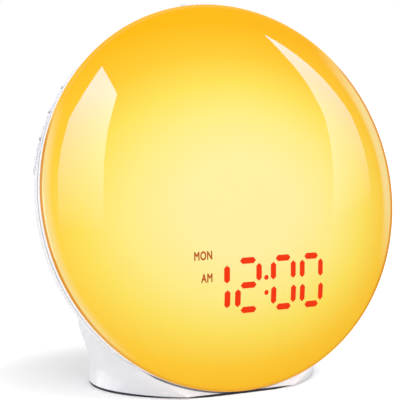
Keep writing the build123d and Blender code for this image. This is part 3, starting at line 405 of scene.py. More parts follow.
def painted_rim_highlight(finish, x, y):
    """How much painted highlight shows in the band inside the dome's left and right edge, a pale
    glow that stands in for the edge's reflection.

    On the left the band is fine, and stays off the rim lower down. On the right it reaches the rim.
    """
    glow, radius = bpy.context.scene.clock_glow, bpy.context.scene.clock_dial.radius
    flank = finish.step((x + y * 0.2).math("ABSOLUTE"), radius * 0.72, radius * 0.95)
    right = finish.step(x, radius * -0.2, radius * 0.2)
    finer, wider = finish.step(y, 0, radius * -0.7) * (1.2 * MM), right * (1.5 * MM)
    out = distance(x + glow.band_shift, y) - finer + wider
    rise = finish.step(out, glow.band_reach - 2 * MM, glow.band_reach + 1.6 * MM)
    fall = finish.step(out, glow.band_reach + 4 * MM, glow.band_reach + 2.4 * MM)
    return rise * flank * fall.math("MAXIMUM", right) * glow.band_strength


def lit_diffuser(finish):
    """Polished milky dome, lit from inside: pale at its heart, amber at the rim."""
    glow, dial = bpy.context.scene.clock_glow, bpy.context.scene.clock_dial
    x, y, z = finish.dial_place()
    from_heart = distance((x - glow.heart_x) * glow.widening, y - glow.heart_y)
    stops = [
        (0.24, glow.heart),
        (0.45, glow.halo),
        (0.61, glow.yellow),
        (0.77, glow.warm),
        (0.96, glow.amber),
    ]
    light = finish.add("ShaderNodeValToRGB", {"stops": stops}, {"Fac": from_heart / glow.reach})
    # painted highlight: a pale band inside the left and right edge
    light = finish.blend(painted_rim_highlight(finish, x, y), light, glow.rim_highlight)
    # The skirt shows as a line of painted shade, darker orange where it is seen at a slant: wide on
    # the left, finer and fainter below, and gone at the top.
    low = finish.step(y, dial.radius * -0.4, dial.radius * -0.95)
    level = z - x / dial.radius * (1.8 * MM) + low * (0.3 * MM)
    skirt = finish.step(level, dial.skirt + 0.7 * MM, dial.skirt + 0.1 * MM)
    shown = finish.step(y - x * 0.15, dial.radius * 0.64, dial.radius * 0.44) * (1 - low * 0.5)
    light = finish.blend(skirt * shown, light, glow.skirt_shade_line)
    light = finish.dim(light, 0.99 + finish.noise(14 * MM) * 0.02)
    finish.set(
        Base_Color=finish.dim(light, glow.tint),
        Emission_Color=light,
        Emission_Strength=glow.strength,
        Roughness=finish.noise(30 * MM) * 0.06 + 0.42,
        Coat_Weight=1 - skirt * 0.8,
        **DOME_POLISH,
    )


def lit_mark(finish, value):
    """A bar or letter that shines through the dome, a little uneven as its light guide is."""
    tone = finish.mottle(finish.noise(3 * MM, 1.0), value, 0.93, 1.06)
    finish.set(
        Base_Color=finish.dim(tone, 0.25),
        Emission_Color=tone,
        Emission_Strength=bpy.context.scene.clock_glow.strength,
        Roughness=finish.noise(2 * MM) * 0.1 + 0.4,
        Coat_Weight=1.0,
        **DOME_POLISH,
    )


def moulding(finish, value, gloss, grain, depth):
    """Moulded plastic: faint flow marks and the fine grain of its mould."""
    marks = finish.mottle(finish.noise(45 * MM, 3.0), value, 0.975, 1.015)
    # Its base colour carries painted shade along the seam groove.
    finish.set(
        Base_Color=painted_seam_shade(finish, marks),
        Roughness=finish.noise(6 * MM) * 0.08 + gloss,
        Specular_IOR_Level=0.5,
        Coat_Weight=0.25,
        Coat_Roughness=0.12,
    )
    finish.bump(finish.noise(grain, 3.0, 0.6), depth, 0.5)


def polished_white(finish, value):
    """Polished white plastic, with the faintest orange peel."""
    # Its base colour carries painted shade along the seam groove.
    finish.set(
        Base_Color=painted_seam_shade(finish, finish.mottle(finish.noise(30 * MM), value, 0.985, 1.01)),
        Roughness=finish.noise(9 * MM) * 0.06 + 0.16,
        Coat_Weight=0.6,
        Coat_Roughness=0.04,
    )
    finish.bump(finish.noise(2.2 * MM), 0.01 * MM, 0.4)


def rubber(finish, value):
    """Soft rubber: a dusty, pitted surface."""
    finish.set(
        Base_Color=finish.mottle(finish.noise(3 * MM, 4.0, 0.7), value, 0.75, 1.25),
        Roughness=finish.noise(1.5 * MM) * 0.15 + 0.72,
        Specular_IOR_Level=0.3,
    )
    finish.bump(finish.cells(0.5 * MM), 0.05 * MM, 0.6)


def foam(finish, value):
    """Open-cell foam."""
    pores = finish.cells(0.7 * MM)
    finish.set(
        Base_Color=finish.mottle(pores, value, 1.3, 0.4),
        Roughness=finish.noise(2 * MM) * 0.1 + 0.85,
    )
    finish.bump(pores, 0.2 * MM, 0.8)


def circuit_board(finish, value):
    """Solder mask over square copper tracks."""
    tracks = finish.step(finish.cells(4.5 * MM, "CHEBYCHEV"), 0.46, 0.5)
    finish.set(
        Base_Color=finish.mottle(tracks, value, 0.82, 1.3),
        Roughness=finish.noise(3 * MM) * 0.12 + 0.32,
        Coat_Weight=0.3,
        Coat_Roughness=0.1,
    )
    finish.bump(tracks, 0.035 * MM, 0.6)


def clear_guide(finish, value):
    """Clear moulded light guide."""
    finish.set(
        Base_Color=finish.mottle(finish.noise(4 * MM), value, 0.9, 1.04),
        Roughness=finish.noise(2 * MM) * 0.05 + 0.06,
        Transmission_Weight=0.7,
        IOR=1.49,
    )


def lamp_package(finish, value):
    """Lamp package: phosphor under a clear skin."""
    tone = finish.mottle(finish.noise(0.6 * MM, 3.0), value, 0.85, 1.1)
    finish.set(
        Base_Color=tone,
        Emission_Color=tone,
        Emission_Strength=0.8,
        Roughness=finish.noise(1 * MM) * 0.1 + 0.3,
    )


def plated_metal(finish, value, roughness):
    """Plated metal with fine, slightly uneven polish."""
    grain = finish.noise(0.8 * MM, 4.0, 0.6)
    finish.set(
        Base_Color=finish.mottle(finish.noise(5 * MM), value, 0.88, 1.08),
        Metallic=1.0,
        Roughness=grain * 0.14 + roughness,
    )
    finish.bump(grain, 0.01 * MM, 0.4)


def pressed_paper(finish, value):
    """Pressed paper cone: matted fibres."""
    fibres = finish.noise(0.5 * MM, 5.0, 0.7, (1, 3, 1))
    finish.set(
        Base_Color=finish.mottle(fibres, value, 0.7, 1.4),
        Roughness=finish.noise(2 * MM) * 0.1 + 0.8,
        Specular_IOR_Level=0.2,
    )
    finish.bump(fibres, 0.06 * MM, 0.7)


def ferrite(finish, value):
    """Fired ferrite: dull, with a fine sandy grain."""
    sand = finish.noise(0.4 * MM, 4.0, 0.7)
    finish.set(
        Base_Color=finish.mottle(sand, value, 0.8, 1.2),
        Metallic=0.2,
        Roughness=finish.noise(3 * MM) * 0.1 + 0.6,
    )
    finish.bump(sand, 0.04 * MM, 0.6)


def finished(name, recipe, *values):
    """The material that a recipe makes."""
    finish = Finish(name)
    recipe(finish, *values)
    return finish.material


def make_finishes():
    """One finish for each material slot of the record."""
    choice = bpy.context.scene.clock_finish
    rows = {
        "dome": ("lit_diffuser", lit_diffuser),
        "white_gloss": ("polished_white", polished_white, choice.ring),
        "white_satin": ("satin_white", moulding, choice.shell, 0.34, 0.35 * MM, 0.012 * MM),
        "key_white": ("key_white", moulding, choice.keys, 0.3, 0.3 * MM, 0.01 * MM),
        "rubber": ("pad_rubber", rubber, choice.rubber),
        "board_white": ("white_board", circuit_board, choice.board_white),
        "board_green": ("green_board", circuit_board, choice.board_green),
        "led": ("lamp_package", lamp_package, choice.lamp),
        "black_plastic": ("black_moulding", moulding, choice.black, 0.45, 0.3 * MM, 0.02 * MM),
        "clear_guide": ("clear_guide", clear_guide, choice.guide),
        "steel": ("zinc_plated", plated_metal, choice.steel, 0.24),
        "cone": ("pressed_paper", pressed_paper, choice.cone),
        "magnet": ("ferrite", ferrite, choice.magnet),
        "foam": ("open_foam", foam, choice.foam),
        "brass": ("plated_pin", plated_metal, choice.brass, 0.18),
    }
    return {slot: finished(*row) for slot, row in rows.items()}


def finish_of(slot_name):
    """The finish that stands for a material slot."""
    return bpy.data.materials[bpy.context.scene["clock_finishes"][slot_name]]


# ---- Meshes ----


def dial_matrix():
    dial = bpy.context.scene.clock_dial
    return Matrix.Translation(dial.middle) @ Matrix.Rotation(math.pi / 2 - dial.lean, 4, "X")


def dome_sphere():
    """The sphere that the dome is a cap of: its middle along the dial's axis, and its radius.

    It stands back by a little more than the relief, so that the lit bars stay inside the CAD model.
    """
    dial = bpy.context.scene.clock_dial
    radius = (dial.radius**2 + dial.rise**2) / (2 * dial.rise)
    middle = dial.skirt + dial.rise - radius
    return middle, radius - 1.2 * bpy.context.scene.clock_display.relief


def new_object(name, mesh):
    piece = bpy.data.objects.new(name, mesh)
    bpy.context.scene.collection.objects.link(piece)
    return piece


def geometry_bench(name, inputs):
    """An empty geometry tree with named inputs, and a wire for each of them."""
    tree = bpy.data.node_groups.new(name, "GeometryNodeTree")
    tree.is_modifier = True
    tree.interface.new_socket("Geometry", in_out="OUTPUT", socket_type="NodeSocketGeometry")
    tree.interface.new_socket("Geometry", in_out="INPUT", socket_type="NodeSocketGeometry")
    for label, kind in inputs.items():
        tree.interface.new_socket(label, in_out="INPUT", socket_type=f"NodeSocket{kind}")
    bench = Bench(tree)
    entry = tree.nodes.new("NodeGroupInput")
    return bench, {socket.name: Wire(bench, socket) for socket in entry.outputs if socket.name}


def close_tree(bench, geometry, material):
    """Ends a tree: instances become real, and the finish is set."""
    real = bench.add("GeometryNodeRealizeInstances", None, {"Geometry": geometry})
    dressed = bench.add("GeometryNodeSetMaterial", None, {"Geometry": real, "Material": material})
    bench.end("NodeGroupOutput", "Geometry", dressed)
    return bench.tree


def set_on_points(bench, given, shape, turn):
    """Ends a tree with a turned copy of a shape on each of its points."""
    sockets = {"Points": given["Geometry"], "Instance": shape, "Rotation": turn}
    copies = bench.add("GeometryNodeInstanceOnPoints", None, sockets)
    return close_tree(bench, copies, given["Finish"])


def turned_form_tree():
    """Turns a profile of x and z round the z axis; the profile's points come in order."""
    bench, given = geometry_bench("turned_form", {"Steps": "Int", "Finish": "Material"})
    profile, steps = given["Geometry"], given["Steps"]
    count = bench.add("GeometryNodeAttributeDomainSize", None, {"Geometry": profile}, "Point Count")
    sockets = {"Vertices X": steps + 1, "Vertices Y": count}
    grid = bench.add("GeometryNodeMeshGrid", None, sockets, "Mesh")
    index = bench.add("GeometryNodeInputIndex")
    turn = (index / count).math("FLOOR") * math.tau / steps
    spot = bench.add("GeometryNodeInputPosition")
    sockets = {"Geometry": profile, "Value": spot, "Index": index % count}
    point = bench.add("GeometryNodeSampleIndex", {"data_type": "FLOAT_VECTOR"}, sockets)
    x, _, z = bench.parts(point)
    spun = bench.vector(x * turn.math("COSINE"), x * turn.math("SINE"), z)
    form = bench.add("GeometryNodeSetPosition", None, {"Geometry": grid, "Position": spun})
    closed = bench.add("GeometryNodeMergeByDistance", None, {"Geometry": form, "Distance": WELD})
    return close_tree(bench, closed, given["Finish"])


def lit_bars_tree():
    """Sets a six-sided pointed bar on each point, turned by the point's own turn."""
    inputs = dict.fromkeys(("Length", "Width", "Point", "Depth"), "Float")
    bench, given = geometry_bench("lit_bars", {**inputs, "Finish": "Material"})
    sockets = {"Vertices": 6, "Radius": 1.0, "Depth": given["Depth"]}
    block = bench.add("GeometryNodeMeshCylinder", None, sockets, "Mesh")
    across_flats = 2 * math.sin(math.pi / 3)
    x, y, z = bench.parts(bench.add("GeometryNodeInputPosition"))
    tip = (1 - x.math("ABSOLUTE")) * 2 * given["Point"]
    long = x.math("SIGN") * (given["Length"] / 2 - tip)
    shaped = bench.vector(long, y * given["Width"] / across_flats, z)
    bar = bench.add("GeometryNodeSetPosition", None, {"Geometry": block, "Position": shaped})
    turn = bench.add("GeometryNodeInputNamedAttribute", {"data_type": "FLOAT"}, {"Name": "turn"})
    return set_on_points(bench, given, bar, bench.vector(0.0, 0.0, turn))


def pressed_on_dome_tree():
    """Lays a flat form on the dome: its x and y stay, and its z becomes height above the dome."""
    inputs = {"Radius": "Float", "Middle": "Float", "Finish": "Material"}
    bench, given = geometry_bench("pressed_on_dome", inputs)
    x, y, z = bench.parts(bench.add("GeometryNodeInputPosition"))
    height = (given["Radius"] * given["Radius"] - x * x - y * y).math("SQRT")
    laid = bench.vector(x, y, given["Middle"] + height + z)
    sockets = {"Geometry": given["Geometry"], "Position": laid}
    return close_tree(bench, bench.add("GeometryNodeSetPosition", None, sockets), given["Finish"])


def copies_tree():
    """Sets a copy of a shape on each point, its z axis along the point's own axis."""
    bench, given = geometry_bench("copies", {"Shape": "Object", "Finish": "Material"})
    shape = bench.add("GeometryNodeObjectInfo", None, {"Object": given["Shape"]}, "Geometry")
    kind = {"data_type": "FLOAT_VECTOR"}
    axis = bench.add("GeometryNodeInputNamedAttribute", kind, {"Name": "axis"})
    turn = bench.add("FunctionNodeAlignRotationToVector", {"axis": "Z"}, {"Vector": axis})
    return set_on_points(bench, given, shape, turn)


def evaluated_mesh(piece):
    """A plain mesh of a piece as its modifiers, or its letters, make it."""
    depsgraph = bpy.context.evaluated_depsgraph_get()
    return bpy.data.meshes.new_from_object(piece.evaluated_get(depsgraph), depsgraph=depsgraph)


def apply_modifier(piece, modifier):
    """Puts what a piece's one modifier makes in place of its mesh."""
    mesh = evaluated_mesh(piece)
    piece.modifiers.remove(modifier)
    piece.data = mesh
    mesh.name = piece.name


def grown(name, tree, seed, values):
    """Runs a geometry tree on a mesh, and keeps the result as a plain mesh."""
    piece = new_object(name, seed)
    modifier = piece.modifiers.new("form", "NODES")
    modifier.node_group = tree
    for item in tree.interface.items_tree:
        if item.in_out == "INPUT" and item.name in values:
            modifier[item.identifier] = values[item.name]
    apply_modifier(piece, modifier)
    return piece


def seed_points(points, **attributes):
    """Loose points for a tree to work on, each with its own values."""
    mesh = bpy.data.meshes.new("seed")
    mesh.from_pydata(points, [], [])
    for name, values in attributes.items():
        kind, key = ("FLOAT_VECTOR", "vector") if np.ndim(values) == 2 else ("FLOAT", "value")
        attribute = mesh.attributes.new(name, kind, "POINT")
        attribute.data.foreach_set(key, np.ravel(values).astype(np.float32))
    return mesh


def mesh_of(shape, name):
    """The mesh of an edited shape, which is then done with."""
    mesh = bpy.data.meshes.new(name)
    shape.to_mesh(mesh)
    shape.free()
    return mesh


def arc(middle_x, middle_z, radius, start, end, count):
    """Points of an arc; its angles are measured from the z axis towards x."""
    for step in range(count + 1):
        angle = start + (end - start) * step / count
        yield (middle_x + radius * math.sin(angle), 0, middle_z + radius * math.cos(angle))


def smooth(mesh, angle):
    """Smooth shading that breaks at edges sharper than the angle, in degrees."""
    mesh.shade_smooth()
    mesh.set_sharp_from_angle(angle=math.radians(angle))


def even_shading(piece):
    """Lets large faces rule the shading, so that narrow roundings beside them don't bend it."""
    modifier = piece.modifiers.new("even", "WEIGHTED_NORMAL")
    modifier.mode, modifier.keep_sharp = "FACE_AREA_WITH_ANGLE", True
    apply_modifier(piece, modifier)


def skin(node, name, slot_name, angle=28):
    """A welded, smoothly shaded copy of a CAD node, which it stands for."""
    source = frame["nodes"][node]
    mesh = source.data.copy()
    mesh.name = name
    given = mesh.attributes.get("custom_normal")
    if given:  # the shading normals of the unwelded mesh
        mesh.attributes.remove(given)
    shape = bmesh.new()
    shape.from_mesh(mesh)
    bmesh.ops.remove_doubles(shape, verts=shape.verts, dist=WELD)
    bmesh.ops.dissolve_degenerate(shape, edges=shape.edges, dist=WELD)
    shape.to_mesh(mesh)
    shape.free()
    mesh.materials.clear()
    mesh.materials.append(finish_of(slot_name))
    smooth(mesh, angle)
    piece = new_object(name, mesh)
    even_shading(piece)
    body = source["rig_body"]
    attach(piece, body)
    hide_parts(node)
    return piece


def loose_parts(node):
    """The points of each separate solid of a CAD node."""
    shape = bmesh.new()
    shape.from_mesh(frame["nodes"][node].data)
    bmesh.ops.remove_doubles(shape, verts=shape.verts, dist=WELD)
    left = set(shape.verts)
    parts = []
    while left:
        waiting, part = [left.pop()], []
        while waiting:
            point = waiting.pop()
            part.append(point.co[:])
            for edge in point.link_edges:
                other = edge.other_vert(point)
                if other in left:
                    left.remove(other)
                    waiting.append(other)
        parts.append(np.array(part))
    shape.free()
    return parts


def screw_of(part):
    """Underside of the head, axis towards the head, and sizes of a screw, from its points."""
    centre = part.mean(0)
    spread, axes = np.linalg.eigh(np.cov((part - centre).T))
    # A turned form spreads alike in two directions, and the third is its axis.
    axis = axes[:, 2] if spread[2] - spread[1] > spread[1] - spread[0] else axes[:, 0]
    along = (part - centre) @ axis
    out = np.linalg.norm(part - centre - np.outer(along, axis), axis=1)
    head_radius = out.max()
    rim = out > head_radius * 0.98
    if along[rim].mean() < (along.min() + along.max()) / 2:
        axis, along = -axis, -along
    seat = along[rim].min()
    shank_radius = out[along < seat - 0.1 * MM].max()
    sizes = (head_radius, along.max() - seat, shank_radius, seat - along.min())
    return centre + axis * seat, axis, [round(size, 6) for size in sizes]


# ---- Operators ----


class ClockOperator:
    bl_options = {"REGISTER", "UNDO"}

    def execute(self, context):
        self.make(context.scene)
        return {"FINISHED"}


class CLOCK_OT_finishes(ClockOperator, bpy.types.Operator):
    """Make every finish, and put it on the CAD nodes that use it"""

    bl_idname = "clock.finishes"
    bl_label = "Finishes"

    def make(self, scene):
        finishes = make_finishes()
        scene["clock_finishes"] = {slot: material.name for slot, material in finishes.items()}
        for part in frame["record"]["subparts"]:
            slots = frame["nodes"][part["node"]].data.materials
            slots.clear()
            slots.append(finishes[part["material_slot"]])


class CLOCK_OT_dome(ClockOperator, bpy.types.Operator):
    """Turn the translucent dome"""

    bl_idname = "clock.dome"
    bl_label = "Diffuser Dome"

    def make(self, scene):
        dial = scene.clock_dial
        middle, outer = dome_sphere()
        inner, bore = outer - dial.wall, dial.radius - dial.wall
        edge_x = dial.radius - dial.edge
        edge_z = middle + math.sqrt((outer - dial.edge) ** 2 - edge_x**2)
        edge_angle = math.atan2(edge_x, edge_z - middle)
        profile = [
            *arc(0, middle, inner, 0, math.asin(bore / inner), count=30),
            (bore, 0, 0),
            (dial.radius, 0, 0),
            *arc(edge_x, edge_z, dial.edge, math.pi / 2, edge_angle, count=12),
            *list(arc(0, middle, outer, edge_angle, 0, count=72))[1:],
        ]
        values = {"Steps": dial.steps, "Finish": finish_of("dome")}
        dome = grown("dome_shell", turned_form_tree(), seed_points(profile), values)
        dome.data.transform(dial_matrix())
        smooth(dome.data, angle=40)
        dome.visible_shadow = False  # a lit dome doesn't darken the foot below it
        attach(dome, "root")
        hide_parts("diffuser_dome")


# The middle of each bar, in half widths and half heights from the middle of its digit.
SEGMENTS = {
    "a": (0, 1),
    "b": (1, 0.5),
    "c": (1, -0.5),
    "d": (0, -1),
    "e": (-1, -0.5),
    "f": (-1, 0.5),
    "g": (0, 0),
}
DIGITS = {"0": "abcdef", "1": "bc", "2": "abged"}
TIME = "1200"


def lay_on_dome(name, flat, finish):
    """Presses a flat mesh onto the dome and makes it ride with the clock."""
    middle, radius = dome_sphere()
    values = {"Radius": radius, "Middle": middle, "Finish": finish}
    piece = grown(name, pressed_on_dome_tree(), flat, values)
    piece.data.transform(dial_matrix())
    smooth(piece.data, angle=30)
    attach(piece, "root")


class CLOCK_OT_time(ClockOperator, bpy.types.Operator):
    """Light the bars of the digits and the colon"""

    bl_idname = "clock.time"
    bl_label = "Lit Time"

    def make(self, scene):
        display = scene.clock_display
        second = display.time_x
        third = second + display.pair_gap
        middles = [second - display.pitch, second, third, third + display.pitch]
        points, turns = [], []
        for digit, middle in zip(TIME, middles):
            for name in DIGITS[digit]:
                side, level = SEGMENTS[name]
                rise = level * display.half_height
                x = middle + side * display.half_width + display.lean * rise
                points.append((x, display.time_y + rise, 0))
                turns.append(0.0 if side == 0 else math.pi / 2)
        finish, depth = finished("lit_bar", lit_mark, display.digit), 2 * display.relief
        values = {"Length": display.bar_length, "Width": display.bar_width}
        values |= {"Point": display.bar_point, "Depth": depth, "Finish": finish}
        bars = grown("flat_bars", lit_bars_tree(), seed_points(points, turn=turns), values)
        dots = bmesh.new()
        dots.from_mesh(bars.data)
        disc = {"radius1": display.dot_radius, "radius2": display.dot_radius, "depth": depth}
        for rise in (-display.colon_gap, display.colon_gap):
            x, y = display.colon_x + display.lean * rise, display.colon_y + rise
            spot = Matrix.Translation((x, y, 0))
            bmesh.ops.create_cone(dots, cap_ends=True, segments=28, matrix=spot, **disc)
        bpy.data.objects.remove(bars)
        lay_on_dome("lit_time", mesh_of(dots, "flat_time"), finish)


class CLOCK_OT_words(ClockOperator, bpy.types.Operator):
    """Light the day word and the half of the day"""

    bl_idname = "clock.words"
    bl_label = "Lit Words"

    def make(self, scene):
        display = scene.clock_display
        finish = finished("lit_word", lit_mark, display.word)
        for name, text, foot in (
            ("day_word", display.day, display.day_y),
            ("half_word", display.half, display.half_y),
        ):
            flat = self.letters(text, display.cap_height, display.relief)
            right = max(v.co.x for v in flat.vertices)
            flat.transform(Matrix.Translation((display.words_x - right, foot, 0)))
            lay_on_dome(name, flat, finish)

    @staticmethod
    def letters(text, cap_height, relief):
        """Bold, narrow capitals of the given height, as a mesh."""
        half_depth, boldness, narrowness = 0.01, 0.032, 0.66
        curve = bpy.data.curves.new("letters", "FONT")
        curve.body = text
        curve.extrude, curve.bevel_depth = half_depth, boldness
        curve.bevel_resolution = 0
        curve.space_character = 1.1
        writing = new_object("letters", curve)
        mesh = evaluated_mesh(writing)
        bpy.data.objects.remove(writing)
        heights = [v.co.y for v in mesh.vertices]
        tall = cap_height / (max(heights) - min(heights))
        size = (tall * narrowness, tall, relief / (half_depth + boldness), 1)
        foot = Matrix.Translation((0, -min(heights) * tall, 0))
        mesh.transform(foot @ Matrix.Diagonal(size))
        return mesh


class CLOCK_OT_shell(ClockOperator, bpy.types.Operator):
    """Dress the ring, the housing, the base and the pad"""

    bl_idname = "clock.shell"
    bl_label = "Ring and Housing"

    def make(self, scene):
        ring = skin("front_ring", "ring_skin", "white_gloss")
        ring.visible_shadow = False  # so near the lit dome, it doesn't either
        skin("rear_housing", "housing_skin", "white_satin")
        skin("base_plate", "base_skin", "white_satin")
        skin("base_pad", "pad_skin", "rubber")


class CLOCK_OT_keys(ClockOperator, bpy.types.Operator):
    """Dress the side keys and the ribbed snooze bar"""

    bl_idname = "clock.keys"
    bl_label = "Keys"

    def make(self, scene):
        for side in ("left", "right"):
            for count in range(1, 5):
                skin(f"{side}_button_{count}", f"{side}_key_{count}", "key_white")
        skin("snooze_button", "snooze_bar", "key_white", angle=35)


class CLOCK_OT_screws(ClockOperator, bpy.types.Operator):
    """Make the cross-head screws"""

    bl_idname = "clock.screws"
    bl_label = "Screws"

    def make(self, scene):
        for node in sorted(n for n in frame["nodes"] if n.endswith("_screws")):
            screws = [screw_of(part) for part in loose_parts(node)]
            shape = new_object("one_screw", self.screw_mesh(*screws[0][2]))
            points = seed_points([s[0] for s in screws], axis=[s[1] for s in screws])
            values = {"Shape": shape, "Finish": finish_of("steel")}
            piece = grown(node.replace("screws", "cross_heads"), copies_tree(), points, values)
            bpy.data.objects.remove(shape)
            smooth(piece.data, angle=30)
            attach(piece, "root")
            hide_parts(node)

    @staticmethod
    def screw_mesh(head_radius, head_height, shank_radius, length_below):
        """A pan-head screw with a cross in its head and ridges for its thread."""
        turns, core = 9, shank_radius * 0.82
        flank = length_below / turns * 0.3
        profile = [(0, 0, -length_below), (core * 0.5, 0, -length_below)]
        for turn in range(turns):
            level = -length_below + (turn + 0.5) * length_below / (turns + 0.5)
            for out, shift in ((core, -flank), (shank_radius, 0), (core, flank)):
                profile.append((out, 0, level + shift))
        profile += [(shank_radius, 0, 0), (head_radius, 0, 0)]
        crown = head_height * 0.45
        for out, down in ((1, 1), (0.9, 0.45), (0.7, 0.12), (0.4, 0), (0, 0)):
            profile.append((head_radius * out, 0, head_height - crown * down))
        values = {"Steps": 28, "Finish": None}
        blank = grown("blank", turned_form_tree(), seed_points(profile), values)
        cross = bmesh.new()
        arm, thin, deep = head_radius * 1.15, head_radius * 0.22, head_height * 1.2
        for size in ((arm, thin, deep, 1), (thin, arm, deep, 1)):
            block = Matrix.Translation((0, 0, head_height)) @ Matrix.Diagonal(size)
            bmesh.ops.create_cube(cross, size=1, matrix=block)
        tool = new_object("cross", mesh_of(cross, "cross"))
        cut = blank.modifiers.new("cross", "BOOLEAN")
        cut.operation, cut.solver, cut.object, cut.use_self = "DIFFERENCE", "EXACT", tool, True
        mesh = evaluated_mesh(blank)
        bpy.data.objects.remove(blank)
        bpy.data.objects.remove(tool)
        return mesh


# Outlines of the cards that gloss mirrors, in metres across and up.
LEFT_CARD = (
    *((0.23, 0.0), (0.223, 0.83), (0.225, 1.3), (0.275, 1.91), (0.444, 2.99), (0.09, 4.45)),
    *((-0.185, 2.94), (-0.352, 2.11), (-0.382, 1.45), (-0.377, 1.03), (-0.336, 0.61), (-0.3, 0.0)),
)
RIGHT_CARD = (
    *((0.16, -0.1), (0.223, 0.16), (0.311, 0.345), (0.402, 0.585), (0.49, 0.91), (0.471, 1.33)),
    *((0.434, 1.86), (0.404, 2.51), (0.243, 2.06), (0.122, 1.57), (-0.034, 1.1), (-0.265, 0.72)),
    *((-0.468, 0.365), (-0.6, 0.0)),
)
SIDE_CARD = ((-0.9, -0.7), (0.9, -0.7), (0.9, 0.4), (-0.9, 0.4))
FLOOR = ((-6, -6, 0), (6, -6, 0), (6, 6, 0), (-6, 6, 0))  # its corners, in metres


def bare_material(name):
    """A material without a shader yet, and the bench that it is built on."""
    material = bpy.data.materials.new(name)
    material.use_nodes = True
    material.node_tree.nodes.clear()
    return material, Bench(material.node_tree)


def end_lit(bench, shader, light):
    """Ends a material with a shader, and light on top of it."""
    glow = bench.add("ShaderNodeEmission", None, light)
    both = bench.add("ShaderNodeAddShader", None, {0: shader, 1: glow})
    bench.end("ShaderNodeOutputMaterial", "Surface", both)


def sheet(name, corners, material):
    """A single flat face."""
    mesh = bpy.data.meshes.new(name)
    mesh.from_pydata(corners, [], [range(len(corners))])
    mesh.materials.append(material)
    return new_object(name, mesh)


def looking(spot, direction):
    """Placement of a lamp or camera that looks along a direction."""
    turn = Vector(direction).to_track_quat("-Z", "Y").to_matrix().to_4x4()
    return Matrix.Translation(spot) @ turn


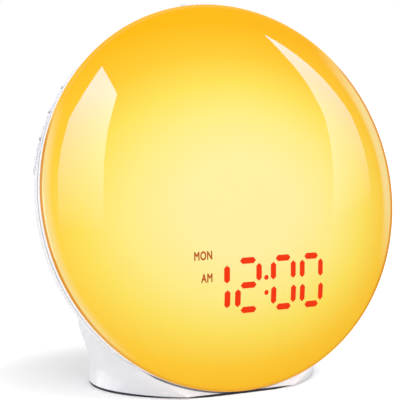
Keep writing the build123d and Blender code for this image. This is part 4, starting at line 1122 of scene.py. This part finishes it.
class CLOCK_OT_studio(ClockOperator, bpy.types.Operator):
    """Set up the floor, the softboxes, the lamps, the surroundings and the camera"""

    bl_idname = "clock.studio"
    bl_label = "Studio"

    def make(self, scene):
        studio = scene.clock_studio
        scene.view_settings.view_transform = "Standard"
        self.floor(studio)
        self.surroundings(scene, studio)
        self.softboxes(studio)
        self.lamp("key_lamp", (0.45, -0.85, 1.9), 1.1, studio.key_power)
        self.lamp("fill_lamp", (-1.3, -0.9, 0.7), 1.2, studio.fill_power)
        self.camera(scene, studio)

    @staticmethod
    def ray_kinds(bench, *kinds):
        """For each kind of ray, a wire that is 1 for it and 0 for all others."""
        path = bench.tree.nodes.new("ShaderNodeLightPath")
        return [Wire(bench, path.outputs[f"Is {kind} Ray"]) for kind in kinds]

    def floor(self, studio):
        """A matt floor that glows a little to the camera alone, and less round a point near the
        clock: painted shade that deepens the clock's real shadow.
        """
        material, bench = bare_material("pale_floor")
        whiteness = (studio.floor, studio.floor, studio.floor, 1)
        matt = bench.add("ShaderNodeBsdfDiffuse", None, {"Color": whiteness})
        spot = bench.add("ShaderNodeTexCoord", None, None, "Object")
        settings, sockets = {"operation": "DISTANCE"}, {0: spot, 1: studio.shade}
        away = bench.add("ShaderNodeVectorMath", settings, sockets, "Value")
        ends = (studio.glow_start, studio.glow_end, studio.near_glow, studio.far_glow)
        rise = bench.ramp(away, *ends)
        straight = self.ray_kinds(bench, "Camera")[0]
        end_lit(bench, matt, {"Strength": straight * rise})
        floor = sheet("floor", FLOOR, material)
        floor.visible_glossy = False

    def surroundings(self, scene, studio):
        """White as seen, softer as light, and dim in what gloss mirrors from the front."""
        world = bpy.data.worlds.new("studio")
        world.use_nodes = True
        bench = Bench(world.node_tree)
        background = bench.tree.nodes["Background"]
        background.inputs["Color"].default_value = (1, 1, 1, 1)
        straight, through, mirrored = self.ray_kinds(bench, "Camera", "Transmission", "Glossy")
        seen = straight.math("MAXIMUM", through)
        toward = bench.parts(bench.add("ShaderNodeTexCoord", None, None, "Generated"))[1]
        backdrop = bench.ramp(toward, 0.1, 0.5, low=studio.mirrored)
        strength = seen * (1 - studio.surround) + mirrored * (backdrop - studio.surround)
        strength = strength + studio.surround
        bench.tree.links.new(strength.socket, background.inputs["Strength"])
        scene.world = world

    def softboxes(self, studio):
        """Cards that only gloss shows: two tall ones in the dome, and one beside the foot."""
        tint = studio.card_colour
        self.card("left_softbox", -34, LEFT_CARD, studio.left_card, tint, (0.3, 3.0))
        self.card("right_softbox", 75, RIGHT_CARD, studio.right_card, tint, (0.15, 2.6))
        self.card("side_card", -123, SIDE_CARD, studio.side_card, (1, 1, 1), (-1.2, -0.8))

    def card(self, name, azimuth, outline, strength, tint, fade):
        """A card facing the dial, brighter from one height to another; azimuth 0 is in front."""
        material, bench = bare_material(name)
        height = bench.parts(bench.add("ShaderNodeTexCoord", None, None, "Object"))[2]
        shine = bench.ramp(height, *fade) * strength
        clear = bench.add("ShaderNodeBsdfTransparent")
        end_lit(bench, clear, {"Color": (*tint, 1), "Strength": shine})
        scene = bpy.context.scene
        stand = Matrix.Translation((*scene.clock_dial.middle[:2], 0))
        stand @= Matrix.Rotation(math.radians(azimuth), 4, "Z")
        away = scene.clock_studio.card_distance
        card = sheet(name, [stand @ Vector((x, -away, z)) for x, z in outline], material)
        card.visible_camera = card.visible_diffuse = card.visible_shadow = False
        card.visible_transmission = card.visible_volume_scatter = False

    @staticmethod
    def lamp(name, spot, size, power):
        light = bpy.data.lights.new(name, "AREA")
        light.shape, light.size, light.energy = "DISK", size, power
        lamp = new_object(name, light)
        clock = Vector((0, 0, 0.08))
        lamp.matrix_world = looking(spot, clock - Vector(spot))
        lamp.visible_glossy = False

    @staticmethod
    def camera(scene, studio):
        lens = bpy.data.cameras.new("camera")
        lens.lens, lens.sensor_width, lens.clip_end = studio.focal, 36, 50
        view = new_object("camera", lens)
        view.matrix_world = looking(studio.camera, studio.look)
        scene.camera = view


# ---- Panel, registration and the run ----

OPERATORS = (
    CLOCK_OT_finishes,
    CLOCK_OT_dome,
    CLOCK_OT_time,
    CLOCK_OT_words,
    CLOCK_OT_shell,
    CLOCK_OT_keys,
    CLOCK_OT_screws,
    CLOCK_OT_studio,
)
GROUPS = {
    "clock_dial": ClockDial,
    "clock_glow": ClockGlow,
    "clock_display": ClockDisplay,
    "clock_finish": ClockFinish,
    "clock_studio": ClockStudio,
}


class CLOCK_PT_panel(bpy.types.Panel):
    """Sizes, colours and steps of the clock"""

    bl_label = "Sunrise Alarm Clock"
    bl_space_type = "VIEW_3D"
    bl_region_type = "UI"
    bl_category = "Clock"

    def draw(self, context):
        for name, group in GROUPS.items():
            box = self.layout.box()
            box.label(text=group.__doc__)
            for key in group.__annotations__:
                box.prop(getattr(context.scene, name), key)
        for operator in OPERATORS:
            self.layout.operator(operator.bl_idname)


def register():
    for item in (*GROUPS.values(), *OPERATORS, CLOCK_PT_panel):
        bpy.utils.register_class(item)
    for name, group in GROUPS.items():
        setattr(bpy.types.Scene, name, PointerProperty(type=group))


def unregister():
    for name in GROUPS:
        delattr(bpy.types.Scene, name)
    for item in (CLOCK_PT_panel, *reversed(OPERATORS), *GROUPS.values()):
        bpy.utils.unregister_class(item)


def main():
    register()
    bpy.ops.clock.finishes()
    bpy.ops.clock.dome()
    bpy.ops.clock.time()
    bpy.ops.clock.words()
    bpy.ops.clock.shell()
    bpy.ops.clock.keys()
    bpy.ops.clock.screws()
    bpy.ops.clock.studio()


if __name__ == "__main__":
    main()
